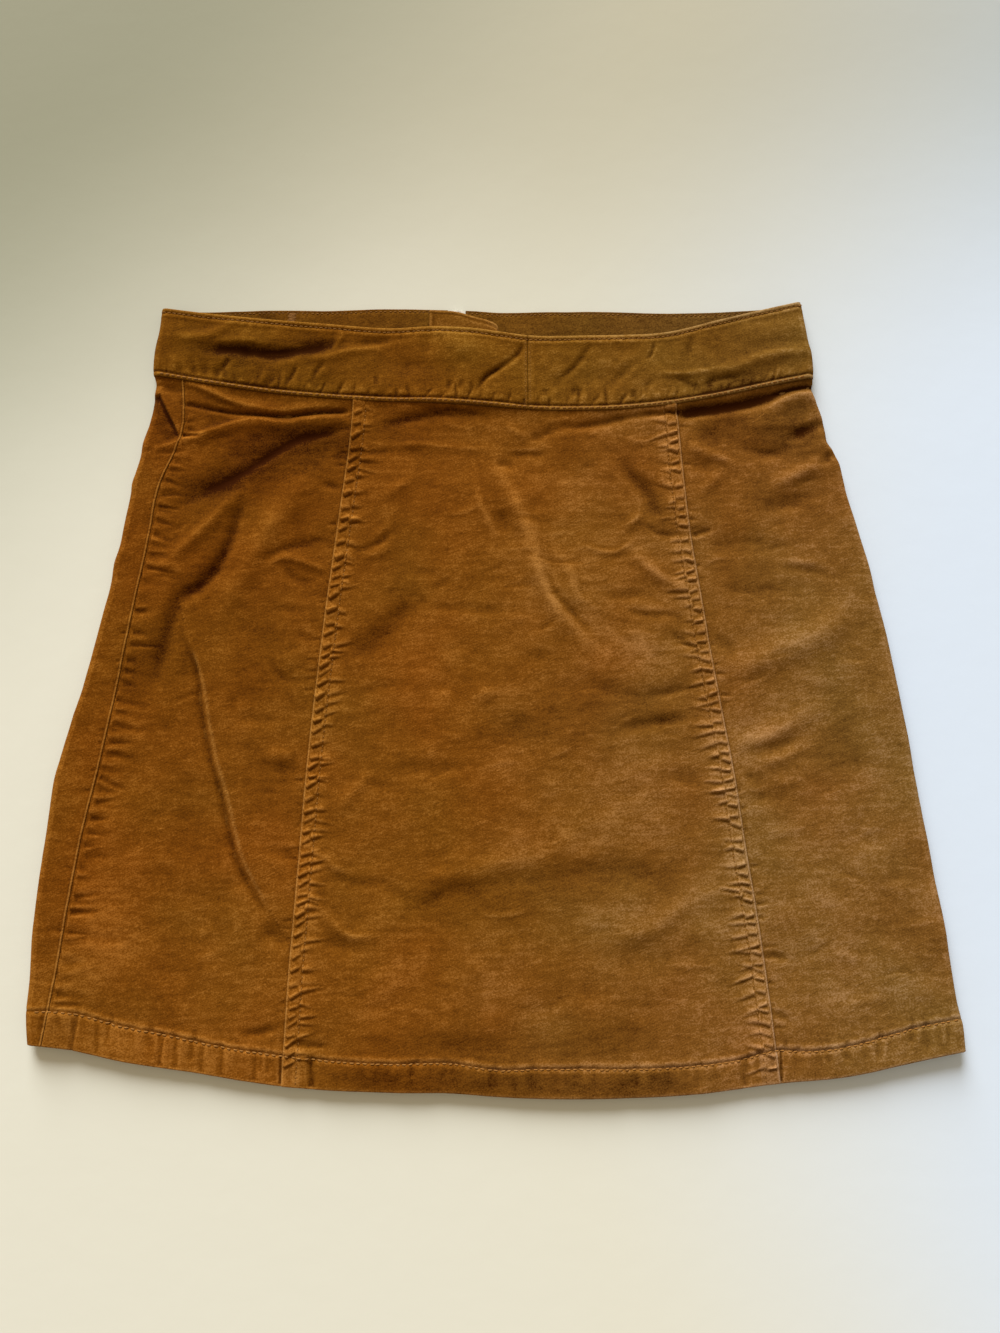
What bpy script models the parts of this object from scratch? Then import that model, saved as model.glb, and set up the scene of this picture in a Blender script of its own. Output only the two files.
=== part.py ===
"""An a-line mini skirt of brushed cotton, laid flat on its back.

X runs across the skirt, Y from the hem up to the waist, and +Z up from the surface that it lies on.
The back lies face down at Z = 0 and the front lies on it. The cloth is turned a little on the table:
the back wraps round the left fold and shows as a narrow strip there, and the right side front wraps
round the right fold to its seam underneath. Lengths are in millimetres until a mesh is made.
"""

from collections import namedtuple

import bmesh
import bpy
import numpy as np

MM = 0.001

# Cloth
PANEL = 1.2  # wall of a panel
BAND = 2.4  # wall of the doubled waistband
SEAM = 0.3  # gap between two pieces at a seam, and between stacked pieces
HALF_SEAM = SEAM / 2
ALLOWANCE = 7.5  # width of the raised strip along each princess seam
ALLOWANCE_DROP = 1.0  # the strip falls to the panel over this width
ALLOWANCE_RISE = 0.8
HEM_DEPTH = 14.5
HEM_DROP = 1.2
HEM_RISE = 0.8
CROSSING = 0.4  # share of the rise added where a seam allowance crosses the hem

# Heights of the front's outer face above the table
FRONT_HEIGHT = 4.7  # in the middle of the panels
WAIST_HEIGHT = 5.3  # along the waist seam
WAIST_FADE = 18.0  # how far below the seam that height fades
FOLD_HEIGHT = 6.2  # at the side folds
FOLD_FADE = 24.0
BAND_HEIGHT = 6.1
BAND_FOLD_HEIGHT = 6.8
TAB_LUMP = 1.1  # the band rises over the zip guard
ROLL = 3.6  # half width of the round at a side fold
SOFTNESS = 0.5  # how gently a trough meets the layer below

# Zip at the centre back
CHANNEL = 4.8  # half width of the gap between the band's ends
ZIP_BOTTOM = 31.0
CHAIN_TOP = 187.6
CHAIN_WIDTH = 9.0
CHAIN_LOW = 1.5
CHAIN_HIGH = 2.7
SLIDER_BOTTOM = 188.0
SLIDER_TOP = 198.3
SLIDER_WIDTH = 9.0
SLIDER_LOW = 1.3
SLIDER_FOOT = 2.9  # half width of its narrow lower end
SLIDER_TAPER = 4.5  # it narrows below this distance from its top
SLIDER_CORNER = 1.2
LUG_WIDTH = 2.2
LUG_LENGTH = 1.3
LUG_BELOW = 0.35  # how far the lug reaches below the hinge's axis
HINGE_Y = 197.25
HINGE_Z = 0.5
PULL_THICK = 0.8
PULL_WIDTH = 4.4
PULL_ARM = 0.8  # width of each arm of the fork round the lug
PULL_END = 0.45  # the arms end this far past the hinge
PULL_BAR = 1.35  # the fork's bar starts this far from the hinge
PULL_LENGTH = 22.0
PULL_ROUND = 2.0  # its end narrows over this length
CORNERS = ((-1, -1), (1, -1), (1, 1), (-1, 1))  # of a rectangle, in halves of its sides

# Zip guard inside the back of the band
TAB_LOW = 3.0
TAB_HIGH = 4.1
TAB_LEFT = -36.0
TAB_RIGHT = 1.0
TAB_BOTTOM = 158.5
TAB_TOP = 197.2
TAB_SLOPE = -22.0  # the top edge slopes down from here to the tip
TAB_TIP = 186.5
TAB_ROUND = 5.0

# Lines that run down the skirt, each read at heights y: the two side folds, the left side seam,
# the two princess seams, and the right side seam, which lies underneath.
Side = namedtuple("Side", "y left_fold left_seam left_princess right_princess right_fold right_seam")
SIDES = (
    Side(-180, -225.2, -218.4, -102.5, 134.4, 225.0, 199.0),
    Side(-140, -226.5, -213.0, -100.8, 130.4, 221.2, 195.0),
    Side(-110, -225.4, -209.2, -98.9, 126.6, 217.5, 191.0),
    Side(-80, -223.2, -205.0, -97.2, 122.6, 213.9, 187.0),
    Side(-50, -220.0, -199.4, -95.4, 118.9, 210.4, 183.0),
    Side(-20, -213.7, -193.8, -92.9, 114.2, 205.4, 179.0),
    Side(10, -205.2, -189.2, -90.0, 109.3, 200.0, 175.0),
    Side(40, -198.6, -184.6, -87.0, 105.1, 194.5, 170.0),
    Side(70, -194.0, -179.4, -83.5, 100.8, 188.6, 165.0),
    Side(100, -189.4, -174.2, -79.9, 97.8, 181.4, 160.0),
    Side(130, -183.4, -165.6, -76.6, 95.6, 172.0, 155.0),
    Side(160, -180.6, -165.0, -75.3, 93.4, 166.8, 150.0),
    Side(200, -177.8, -165.0, -75.0, 91.0, 161.5, 145.0),
)

# Lines that run across the skirt, each read at places x.
Hem = namedtuple("Hem", "x front back")
HEMS = (
    Hem(-225, -178.0, -178.0),
    Hem(-200, -182.0, -179.5),
    Hem(-150, -190.2, -186.0),
    Hem(-100, -197.4, -192.6),
    Hem(-50, -200.4, -195.2),
    Hem(0, -202.1, -196.6),
    Hem(50, -202.8, -197.0),
    Hem(100, -200.4, -195.0),
    Hem(150, -195.0, -191.0),
    Hem(200, -186.2, -184.0),
    Hem(225, -181.0, -181.0),
)
Waist = namedtuple("Waist", "x front back front_top back_top")
WAISTS = (
    Waist(-180, 160.4, 160.4, 198.2, 198.2),
    Waist(-150, 155.4, 159.0, 194.8, 196.6),
    Waist(-120, 150.9, 158.0, 191.7, 196.8),
    Waist(-90, 148.1, 157.5, 189.0, 196.6),
    Waist(-60, 146.2, 157.2, 187.0, 197.0),
    Waist(-30, 144.9, 157.0, 186.8, 197.0),
    Waist(0, 143.0, 157.0, 184.7, 195.6),
    Waist(30, 141.3, 157.0, 182.7, 195.6),
    Waist(60, 141.6, 157.0, 183.0, 195.6),
    Waist(90, 144.4, 157.3, 185.2, 195.4),
    Waist(120, 149.5, 158.0, 192.0, 196.6),
    Waist(145, 154.8, 158.8, 198.0, 199.0),
    Waist(166, 159.0, 159.0, 202.2, 202.2),
)
BAND_FRONT_SEAM = 16.4  # x of the seam that joins the band's halves at the front
Back = namedtuple("Back", "y x")
CENTRE_BACK = (Back(-200, -16.0), Back(0, -19.0), Back(200, -21.6))

# The largest folds of the front: from one end to the other, half width, and height (a trough is negative).
Fold = namedtuple("Fold", "x0 y0 x1 y1 width height")
FOLDS = (
    Fold(-134, 94, -144, 66, 9, -1.3),
    Fold(-144, 66, -172, 22, 9, -2.6),
    Fold(-172, 20, -177, -4, 8, -2.2),
    Fold(-145, 42, -157, 20, 9, 2.6),
    Fold(-157, 18, -146, -8, 8, 2.0),
    Fold(-146, -8, -114, -108, 8, 1.8),
    Fold(-138, 139, -82, 141, 5, -1.5),
    Fold(-84, 130, -155, 96, 9, -1.3),
    Fold(-162, 127, -126, 131, 6, 1.2),
    Fold(2, 107, 24, 55, 8, 1.6),
    Fold(-65, 18, -10, 38, 9, -1.1),
    Fold(19, -6, 88, -6, 8, -1.0),
    Fold(100, 143, 150, 151, 5, -1.4),
    Fold(112, 133, 158, 141, 6, 1.5),
    Fold(116, 6, 168, 21, 10, 1.1),
    Fold(-74, -101, -35, -110, 9, -0.9),
    Fold(-9, -103, 40, -95, 9, -0.9),
)
BAND_FOLDS = (
    Fold(-146, 175, -86, 175, 5, -1.0),
    Fold(-88, 171, -52, 181, 6, 0.9),
    Fold(88, 175, 112, 164, 6, 0.9),
    Fold(-139, 190, -154, 183, 5, 0.8),
)

# Where the rows of each mesh lie, as shares of the way from the hem, or the band's seam, to its top
LENGTH = 345.0
ROW_COUNT = 25
HEM_ROWS = (0.0, (HEM_DEPTH - HEM_DROP / 2) / LENGTH, (HEM_DEPTH + HEM_DROP / 2) / LENGTH)
ROWS = np.concatenate((HEM_ROWS, np.linspace(28 / LENGTH, 1, ROW_COUNT)))
BAND_ROWS = np.array((0.0, 0.2, 0.4, 0.6, 0.8, 1.0))
ROLL_ANGLES = (60, 25, -10, -40, -65)

Finish = namedtuple("Finish", "colour roughness metallic")
CLOTH = Finish((0.19, 0.070, 0.012), 0.95, 0.0)
BAND_CLOTH = Finish((0.16, 0.062, 0.011), 0.95, 0.0)
TAPE = Finish((0.13, 0.052, 0.012), 0.8, 0.0)
METAL = Finish((0.60, 0.57, 0.52), 0.35, 1.0)


def smooth_curve(knots, values):
    """A function that reads the smooth line through the knots and runs straight on past its ends."""
    knots = np.array(knots, float)
    values = np.array(values, float)
    slopes = np.gradient(values, knots)

    def read(at):
        at = np.asarray(at, float)
        inside = np.clip(at, knots[0], knots[-1])
        i = np.clip(np.searchsorted(knots, inside) - 1, 0, len(knots) - 2)
        step = knots[i + 1] - knots[i]
        t = (inside - knots[i]) / step
        start = (1 + 2 * t) * (1 - t) ** 2 * values[i] + t * (1 - t) ** 2 * step * slopes[i]
        end = t**2 * (3 - 2 * t) * values[i + 1] - t**2 * (1 - t) * step * slopes[i + 1]
        beyond = (at - inside) * np.where(at < knots[0], slopes[0], slopes[-1])
        return start + end + beyond

    return read


def table_curve(table, column):
    """The smooth line through one column of a table, read against its first column."""
    return smooth_curve([row[0] for row in table], [getattr(row, column) for row in table])


left_fold = table_curve(SIDES, "left_fold")
left_seam = table_curve(SIDES, "left_seam")
left_princess = table_curve(SIDES, "left_princess")
right_princess = table_curve(SIDES, "right_princess")
right_fold = table_curve(SIDES, "right_fold")
right_seam = table_curve(SIDES, "right_seam")
centre_back = table_curve(CENTRE_BACK, "x")
hem_front = table_curve(HEMS, "front")
hem_back = table_curve(HEMS, "back")
waist_front = table_curve(WAISTS, "front")
waist_back = table_curve(WAISTS, "back")
top_front = table_curve(WAISTS, "front_top")
top_back = table_curve(WAISTS, "back_top")


def folds(table, x, y):
    """The sum of the soft ridges and troughs of a table at x, y."""
    total = np.zeros_like(x)
    for f in table:
        along = np.array((f.x1 - f.x0, f.y1 - f.y0), float)
        share = ((x - f.x0) * along[0] + (y - f.y0) * along[1]) / (along @ along)
        near = np.clip(share, 0, 1)
        apart = np.hypot(x - f.x0 - near * along[0], y - f.y0 - near * along[1])
        total += f.height * np.exp(-((apart / f.width) ** 2))
    return total


def above(height, floor):
    """The larger of the two heights, with the corner between them rounded."""
    return 0.5 * (height + floor + np.hypot(height - floor, SOFTNESS))


def zip_floor(x, y):
    """How much the zip inside lifts the lowest place that the front may reach."""
    beside = np.abs(x - centre_back(y)) - CHAIN_WIDTH / 2
    past_end = np.maximum(ZIP_BOTTOM - y, 0)
    return (CHAIN_HIGH - PANEL + SEAM) * np.exp(-((np.maximum(beside, 0) + past_end) / 6) ** 2)


def fold_distance(x, y):
    """How far x lies inside the nearer side fold."""
    return np.maximum(np.minimum(x - left_fold(y), right_fold(y) - x) - ROLL, 0)


def panel_height(x, y):
    """The plain outer face of the front panels."""
    near_fold = np.exp(-fold_distance(x, y) / FOLD_FADE)
    near_waist = np.exp(-((waist_front(x) - y) / WAIST_FADE) ** 2)
    height = FRONT_HEIGHT + (FOLD_HEIGHT - FRONT_HEIGHT) * near_fold
    height = height + (WAIST_HEIGHT - height) * near_waist
    height = height + folds(FOLDS, x, y) * (1 - near_waist)
    return above(height, 2 * PANEL + SEAM + zip_floor(x, y))


def band_height(x, y):
    """The plain outer face of the front of the waistband."""
    near_fold = np.exp(-fold_distance(x, y) / FOLD_FADE)
    tab_middle = (TAB_LEFT + TAB_RIGHT) / 2
    tab_half = (TAB_RIGHT - TAB_LEFT) / 2
    over_tab = np.exp(-(((x - tab_middle) / (tab_half + 10)) ** 6))
    height = BAND_HEIGHT + (BAND_FOLD_HEIGHT - BAND_HEIGHT) * near_fold
    return above(height + TAB_LUMP * over_tab + folds(BAND_FOLDS, x, y), 2 * BAND + SEAM)


# A column of points: its share of the way between two lines, a shift in mm, and whether it is raised
Column = namedtuple("Column", "share shift raised", defaults=(0,))
# How a piece is laid out: its rows, the lines at its lower and upper ends, a gap over the lower one,
# and the height of its outer face on the front.
Cut = namedtuple("Cut", "rows low_front low_back high_front high_back gap height")
PANEL_CUT = Cut(ROWS, hem_front, hem_back, waist_front, waist_back, 0, panel_height)
BAND_CUT = Cut(BAND_ROWS, waist_front, waist_back, top_front, top_back, SEAM, band_height)
SETTLED = 10  # rounds that bring a column's x and y to agree


def trace(cut, line, under):
    """x and y down one column: x lies on the line, and y at each row's share of the height."""
    y = LENGTH * (cut.rows - 0.5)
    for _ in range(SETTLED):
        x = line(y)
        low = cut.low_front(x) + under * (cut.low_back(x) - cut.low_front(x))
        high = cut.high_front(x) + under * (cut.high_back(x) - cut.high_front(x))
        y = low + cut.gap + cut.rows * (high - low - cut.gap)
    return x, y


def flat_columns(cut, line_from, line_to, columns, under):
    """Columns of points between two lines, on the front (under 0) or the underside (under 1)."""
    made = []
    for column in columns:
        def line(y, c=column):
            return line_from(y) + c.share * (line_to(y) - line_from(y)) + c.shift

        x, y = trace(cut, line, under)
        z = np.zeros_like(x) if under else cut.height(x, y)
        made.append(np.stack((x, y, z), axis=1))
    return made


def roll_columns(cut, fold, side):
    """Columns round a side fold, from the front's edge to the underside's. side is 1 at +X, -1 at -X."""
    made = []
    for angle in ROLL_ANGLES:
        turn = np.radians(angle)

        def line(y, turn=turn):
            return fold(y) - side * ROLL * (1 - np.cos(turn))

        x, y = trace(cut, line, (1 - np.sin(turn)) / 2)
        top = cut.height(fold(y) - side * ROLL, y)
        made.append(np.stack((x, y, top / 2 * (1 + np.sin(turn))), axis=1))
    return made


def spread(count, first=0.0, last=1.0):
    """Evenly spaced columns, without shift."""
    return [Column(share, 0) for share in np.linspace(first, last, count)]


def normals_of(points):
    """Outward unit normals of a grid of points (rows, columns), upright along its borders."""
    down = np.gradient(points, axis=0)
    across = np.gradient(points, axis=1)
    normals = np.cross(across, down)
    normals[0, :, 1] = 0
    normals[-1, :, 1] = 0
    for border in (0, -1):
        normals[:, border, :2] = 0
    return normals / np.linalg.norm(normals, axis=2, keepdims=True)


def outward(normals, points):
    """The same normals, turned so that the front's point up, and down on a piece that lies underneath."""
    highest = np.unravel_index(points[..., 2].argmax(), points.shape[:2])
    wanted = 1 if points[highest][2] > 0 else -1
    return normals * wanted * np.sign(normals[highest][2])


def material_of(name, finish):
    material = bpy.data.materials.new(name)
    material.use_nodes = True
    shader = material.node_tree.nodes["Principled BSDF"]
    shader.inputs["Base Color"].default_value = (*finish.colour, 1)
    shader.inputs["Roughness"].default_value = finish.roughness
    shader.inputs["Metallic"].default_value = finish.metallic
    material.diffuse_color = (*finish.colour, 1)
    return material


def object_from(name, mesh_maker, finish):
    """A new object whose mesh is what mesh_maker leaves in a bmesh, closed and facing out."""
    shape = bmesh.new()
    mesh_maker(shape)
    bmesh.ops.recalc_face_normals(shape, faces=shape.faces)
    bmesh.ops.scale(shape, vec=(MM, MM, MM), verts=shape.verts)
    mesh = bpy.data.meshes.new(name)
    shape.to_mesh(mesh)
    shape.free()
    mesh.shade_smooth()
    mesh.set_sharp_from_angle(angle=np.radians(40))
    made = bpy.data.objects.new(name, mesh)
    made.data.materials.append(material_of(name, finish))
    bpy.context.collection.objects.link(made)
    return made


def wall(name, columns, thickness, finish, rise=0.0):
    """A cloth wall: an outer grid of points, raised where rise says, over a plain inner one."""
    plain = np.stack(columns, axis=1)
    normals = outward(normals_of(plain), plain)
    outer = plain + normals * np.broadcast_to(rise, plain.shape[:2])[..., None]
    inner = plain - normals * thickness

    def fill(shape):
        rows, width = plain.shape[:2]
        grids = []
        for grid in (outer, inner):
            grids.append([[shape.verts.new(point) for point in row] for row in grid])
        top, bottom = grids
        for r in range(rows - 1):
            for c in range(width - 1):
                shape.faces.new((top[r][c], top[r][c + 1], top[r + 1][c + 1], top[r + 1][c]))
                shape.faces.new((bottom[r][c], bottom[r + 1][c], bottom[r + 1][c + 1], bottom[r][c + 1]))
        border = [(0, c) for c in range(width)] + [(r, width - 1) for r in range(1, rows)]
        border += [(rows - 1, c) for c in range(width - 2, -1, -1)]
        border += [(r, 0) for r in range(rows - 2, 0, -1)]
        for (r0, c0), (r1, c1) in zip(border, border[1:] + border[:1]):
            shape.faces.new((top[r0][c0], bottom[r0][c0], bottom[r1][c1], top[r1][c1]))

    return object_from(name, fill, finish)


def plate(name, outline, low, high, finish):
    """A flat piece: an outline of (x, y) points, between two heights."""

    def fill(shape):
        base = [shape.verts.new((x, y, low)) for x, y in outline]
        lid = [shape.verts.new((x, y, high)) for x, y in outline]
        shape.faces.new(base)
        shape.faces.new(lid)
        for i, point in enumerate(base):
            after = (i + 1) % len(base)
            shape.faces.new((point, base[after], lid[after], lid[i]))

    return object_from(name, fill, finish)


def hem_rise(columns):
    """The turned hem's rise: full over the hem's rows, on every column that faces up."""
    plain = np.stack(columns, axis=1)
    over_hem = np.where(ROWS <= HEM_ROWS[1] + 1e-9, HEM_RISE, 0.0)
    faces_up = np.clip(plain[..., 2] / FRONT_HEIGHT, 0, 1) ** 2
    return over_hem[:, None] * faces_up


def build_front():
    """The centre front with its raised seam allowances, and the two side fronts."""
    flat = ALLOWANCE + ALLOWANCE_DROP
    edge = [Column(0, HALF_SEAM, 1), Column(0, ALLOWANCE, 1), Column(0, flat, 0)]
    far_edge = [Column(1, -c.shift, c.raised) for c in reversed(edge)]
    centre = edge + spread(14, 0.085, 0.915) + far_edge
    columns = flat_columns(PANEL_CUT, left_princess, right_princess, centre, 0)
    strips = np.array([c.raised for c in centre]) * ALLOWANCE_RISE
    hem = hem_rise(columns)
    rise = np.maximum(hem, strips) + CROSSING * np.minimum(hem, strips)
    wall("front_centre", columns, PANEL, CLOTH, rise)

    inside = [Column(0, HALF_SEAM)] + spread(9, 0.1, 0.9) + [Column(1, -HALF_SEAM)]
    columns = flat_columns(PANEL_CUT, left_seam, left_princess, inside, 0)
    wall("front_left", columns, PANEL, CLOTH, hem_rise(columns))

    inside = [Column(0, HALF_SEAM)] + spread(8, 0.11, 0.9) + [Column(1, -ROLL)]
    columns = flat_columns(PANEL_CUT, right_princess, right_fold, inside, 0)
    columns += roll_columns(PANEL_CUT, right_fold, 1)
    under = [Column(0, -ROLL), Column(0.5, 0), Column(1, HALF_SEAM)]
    columns += flat_columns(PANEL_CUT, right_fold, right_seam, under, 1)
    wall("front_right", columns, PANEL, CLOTH, hem_rise(columns))


def build_back():
    """The two halves of the back. The left one wraps round the left fold to its seam on the front."""
    over = [Column(0, -HALF_SEAM), Column(1, ROLL)]
    columns = flat_columns(PANEL_CUT, left_seam, left_fold, over, 0)
    columns += roll_columns(PANEL_CUT, left_fold, -1)
    under = [Column(0, ROLL)] + spread(4, 0.15, 0.8) + [Column(1, -HALF_SEAM)]
    columns += flat_columns(PANEL_CUT, left_fold, centre_back, under, 1)
    wall("back_left", columns, PANEL, CLOTH, hem_rise(columns))

    under = [Column(0, HALF_SEAM)] + spread(4, 0.2, 0.8) + [Column(1, -HALF_SEAM)]
    columns = flat_columns(PANEL_CUT, centre_back, right_seam, under, 1)
    wall("back_right", columns, PANEL, CLOTH)


def band_front_seam(y):
    """The seam between the band's halves at the centre front."""
    return np.full_like(y, BAND_FRONT_SEAM)


def build_band():
    """Each half of the waistband, from the centre front round its fold to the zip."""
    for name, fold, side, count in (("band_left", left_fold, -1, 14), ("band_right", right_fold, 1, 11)):
        inside = [Column(0, side * HALF_SEAM)] + spread(count, 0.07, 0.93) + [Column(1, -side * ROLL)]
        columns = flat_columns(BAND_CUT, band_front_seam, fold, inside, 0)
        columns += roll_columns(BAND_CUT, fold, side)
        under = [Column(0, -side * ROLL)] + spread(5, 0.12, 0.88) + [Column(1, side * CHANNEL)]
        columns += flat_columns(BAND_CUT, fold, centre_back, under, 1)
        wall(name, columns, BAND, BAND_CLOTH)


def build_tab():
    """The zip guard, with a rounded tip, over the zip inside the back of the band."""
    outline = [(TAB_LEFT, TAB_BOTTOM), (TAB_RIGHT, TAB_BOTTOM), (TAB_RIGHT, TAB_TIP)]
    outline += [(TAB_RIGHT - TAB_ROUND / 4, TAB_TIP + TAB_ROUND / 2)]
    outline += [(TAB_RIGHT - TAB_ROUND, TAB_TIP + TAB_ROUND)]
    outline += [(TAB_SLOPE, TAB_TOP - HALF_SEAM), (TAB_LEFT, TAB_TOP)]
    plate("underlap_tab", outline, TAB_LOW, TAB_HIGH, BAND_CLOTH)


def build_zip():
    """Tape and teeth, the slider at the top of them, and the slider's pull, flat under it."""
    half = CHAIN_WIDTH / 2
    heights = np.linspace(ZIP_BOTTOM, CHAIN_TOP, 4)
    outline = [(centre_back(y) - half, y) for y in heights]
    outline += [(centre_back(y) + half, y) for y in reversed(heights)]
    plate("zip_chain", outline, CHAIN_LOW, CHAIN_HIGH, TAPE)

    middle = float(centre_back(HINGE_Y))
    half = SLIDER_WIDTH / 2
    shoulder = SLIDER_TOP - SLIDER_CORNER
    waist = SLIDER_TOP - SLIDER_TAPER
    outline = [(middle - SLIDER_FOOT, SLIDER_BOTTOM), (middle + SLIDER_FOOT, SLIDER_BOTTOM)]
    outline += [(middle + half, waist), (middle + half, shoulder)]
    outline += [(middle + half - SLIDER_CORNER, SLIDER_TOP), (middle - half + SLIDER_CORNER, SLIDER_TOP)]
    outline += [(middle - half, shoulder), (middle - half, waist)]
    slider = plate("zip_slider", outline, SLIDER_LOW, CHAIN_HIGH, METAL)
    reach = LUG_LENGTH / 2
    outline = [(middle + sx * LUG_WIDTH / 2, HINGE_Y + sy * reach) for sx, sy in CORNERS]
    lug = plate("lug", outline, HINGE_Z - LUG_BELOW, (SLIDER_LOW + CHAIN_HIGH) / 2, METAL)
    lug.hide_render = True
    lug.display_type = "WIRE"
    union = slider.modifiers.new("lug", "BOOLEAN")
    union.operation = "UNION"
    union.object = lug

    half = PULL_WIDTH / 2
    fork = half - PULL_ARM
    tip = -PULL_LENGTH
    round_from = tip + PULL_ROUND
    narrow = half - PULL_ROUND / 2
    outline = [(-half, PULL_END), (-half, round_from), (-narrow, tip), (narrow, tip)]
    outline += [(half, round_from), (half, PULL_END), (fork, PULL_END), (fork, -PULL_BAR)]
    outline += [(-fork, -PULL_BAR), (-fork, PULL_END)]
    pull = plate("zip_pull", outline, -PULL_THICK / 2, PULL_THICK / 2, METAL)
    pull.location = (middle * MM, HINGE_Y * MM, HINGE_Z * MM)


def main():
    for old in list(bpy.data.objects):
        bpy.data.objects.remove(old)
    build_front()
    build_back()
    build_band()
    build_tab()
    build_zip()


main()
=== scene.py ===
# %% [markdown]
# # A short a-line skirt of brushed cotton, laid flat
#
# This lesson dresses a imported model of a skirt: cloth with creases and puckered seams, threads, a zip.
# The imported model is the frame: it has the right size and place, and everything made here sits on it.
# X runs across the skirt, Y from the hem up to the waist, and Z up from the table, all in metres.

# %% Load the frame
from collections import namedtuple

import bpy
import numpy as np
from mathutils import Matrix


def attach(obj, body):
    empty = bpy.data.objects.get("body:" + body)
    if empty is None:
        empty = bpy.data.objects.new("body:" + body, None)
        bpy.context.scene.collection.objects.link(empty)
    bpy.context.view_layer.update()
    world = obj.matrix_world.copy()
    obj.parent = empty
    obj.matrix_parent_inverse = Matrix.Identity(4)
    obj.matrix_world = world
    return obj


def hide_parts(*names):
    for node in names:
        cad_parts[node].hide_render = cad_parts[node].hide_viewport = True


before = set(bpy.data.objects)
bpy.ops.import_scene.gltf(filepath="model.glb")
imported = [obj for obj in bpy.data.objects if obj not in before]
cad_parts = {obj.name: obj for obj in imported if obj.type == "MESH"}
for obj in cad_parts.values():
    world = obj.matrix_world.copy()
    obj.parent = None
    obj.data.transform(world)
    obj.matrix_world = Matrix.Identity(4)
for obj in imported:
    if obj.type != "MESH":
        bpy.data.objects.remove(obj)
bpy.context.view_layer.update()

MM = 0.001  # the tables below are in millimetres
print("nodes in the frame:", ", ".join(sorted(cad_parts)))

# %% [markdown]
# ## The camera
#
# The skirt is seen from above, from half a metre. The camera leans 8 degrees from straight down, towards
# the waist, so the hem comes out a little wider than it would from far away. A wide lens does that too.

# %% The camera
CAMERA_PLACE = (0.0017, -0.065, 0.507)
CAMERA_LEAN = 8  # degrees from straight down
LENS = 27.04  # focal length in mm
NEAREST = 0.01  # metres from the camera, nothing closer is drawn
camera_lens = bpy.data.cameras.new("camera")
camera_lens.lens = LENS
camera_lens.clip_start = NEAREST
camera = bpy.data.objects.new("camera", camera_lens)
camera.location = CAMERA_PLACE
camera.rotation_euler = (np.radians(CAMERA_LEAN), 0, 0)
bpy.context.collection.objects.link(camera)
bpy.context.scene.camera = camera
print("the camera stands", CAMERA_PLACE[2], "m above the table")

# %% [markdown]
# ## The lines of the skirt
#
# A pattern cutter draws a few lines through measured points. The same is done here: short tables hold
# the points, and a smooth curve runs through each column. A straight polyline would show its corners in
# a fold of cloth, and a spline object could not be read at any height, so the curve is a small function.

# %% Smooth curves through tables
def smooth_curve(knots, values):
    """A function that reads the smooth line through the knots and runs straight on past its ends."""
    knots = np.array(knots, float)
    values = np.array(values, float)
    slopes = np.gradient(values, knots)

    def read(at):
        at = np.asarray(at, float)
        inside = np.clip(at, knots[0], knots[-1])
        i = np.clip(np.searchsorted(knots, inside) - 1, 0, len(knots) - 2)
        step = knots[i + 1] - knots[i]
        t = (inside - knots[i]) / step
        start = (1 + 2 * t) * (1 - t) ** 2 * values[i] + t * (1 - t) ** 2 * step * slopes[i]
        end = t**2 * (3 - 2 * t) * values[i + 1] - t**2 * (1 - t) * step * slopes[i + 1]
        beyond = (at - inside) * np.where(at < knots[0], slopes[0], slopes[-1])
        return start + end + beyond

    return read


def table_curve(table, column):
    """The smooth line through one column of a table, read against its first column."""
    return smooth_curve([row[0] for row in table], [getattr(row, column) for row in table])


def pair_curve(pairs):
    """The smooth line through pairs of a place and a value."""
    return smooth_curve(*zip(*pairs))


def hump(distance, width):
    """1 where distance is 0, falling smoothly to nearly 0 at two widths on both sides."""
    return np.exp(-((distance / width) ** 2))


print("a hump is", round(float(hump(1, 1)), 2), "high one width away")

# %% Lines that run down the skirt
Side = namedtuple("Side", "y left_fold left_seam left_princess right_princess right_fold right_seam")
SIDES = (
    Side(-180, -225.2, -218.4, -102.5, 134.4, 225, 199),
    Side(-140, -226.5, -213, -100.8, 130.4, 221.2, 195),
    Side(-110, -225.4, -209.2, -98.9, 126.6, 217.5, 191),
    Side(-80, -223.2, -205, -97.2, 122.6, 213.9, 187),
    Side(-50, -220, -199.4, -95.4, 118.9, 210.4, 183),
    Side(-20, -213.7, -193.8, -92.9, 114.2, 205.4, 179),
    Side(10, -205.2, -189.2, -90, 109.3, 200, 175),
    Side(40, -198.6, -184.6, -87, 105.1, 194.5, 170),
    Side(70, -194, -179.4, -83.5, 100.8, 188.6, 165),
    Side(100, -189.4, -175, -79.9, 97.8, 181.4, 160),
    Side(130, -183.4, -164.2, -76.6, 95.6, 172, 155),
    Side(160, -180.6, -165, -75.3, 93.4, 166.8, 150),
    Side(200, -177.8, -165, -75, 91, 161.5, 145),
)
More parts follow.
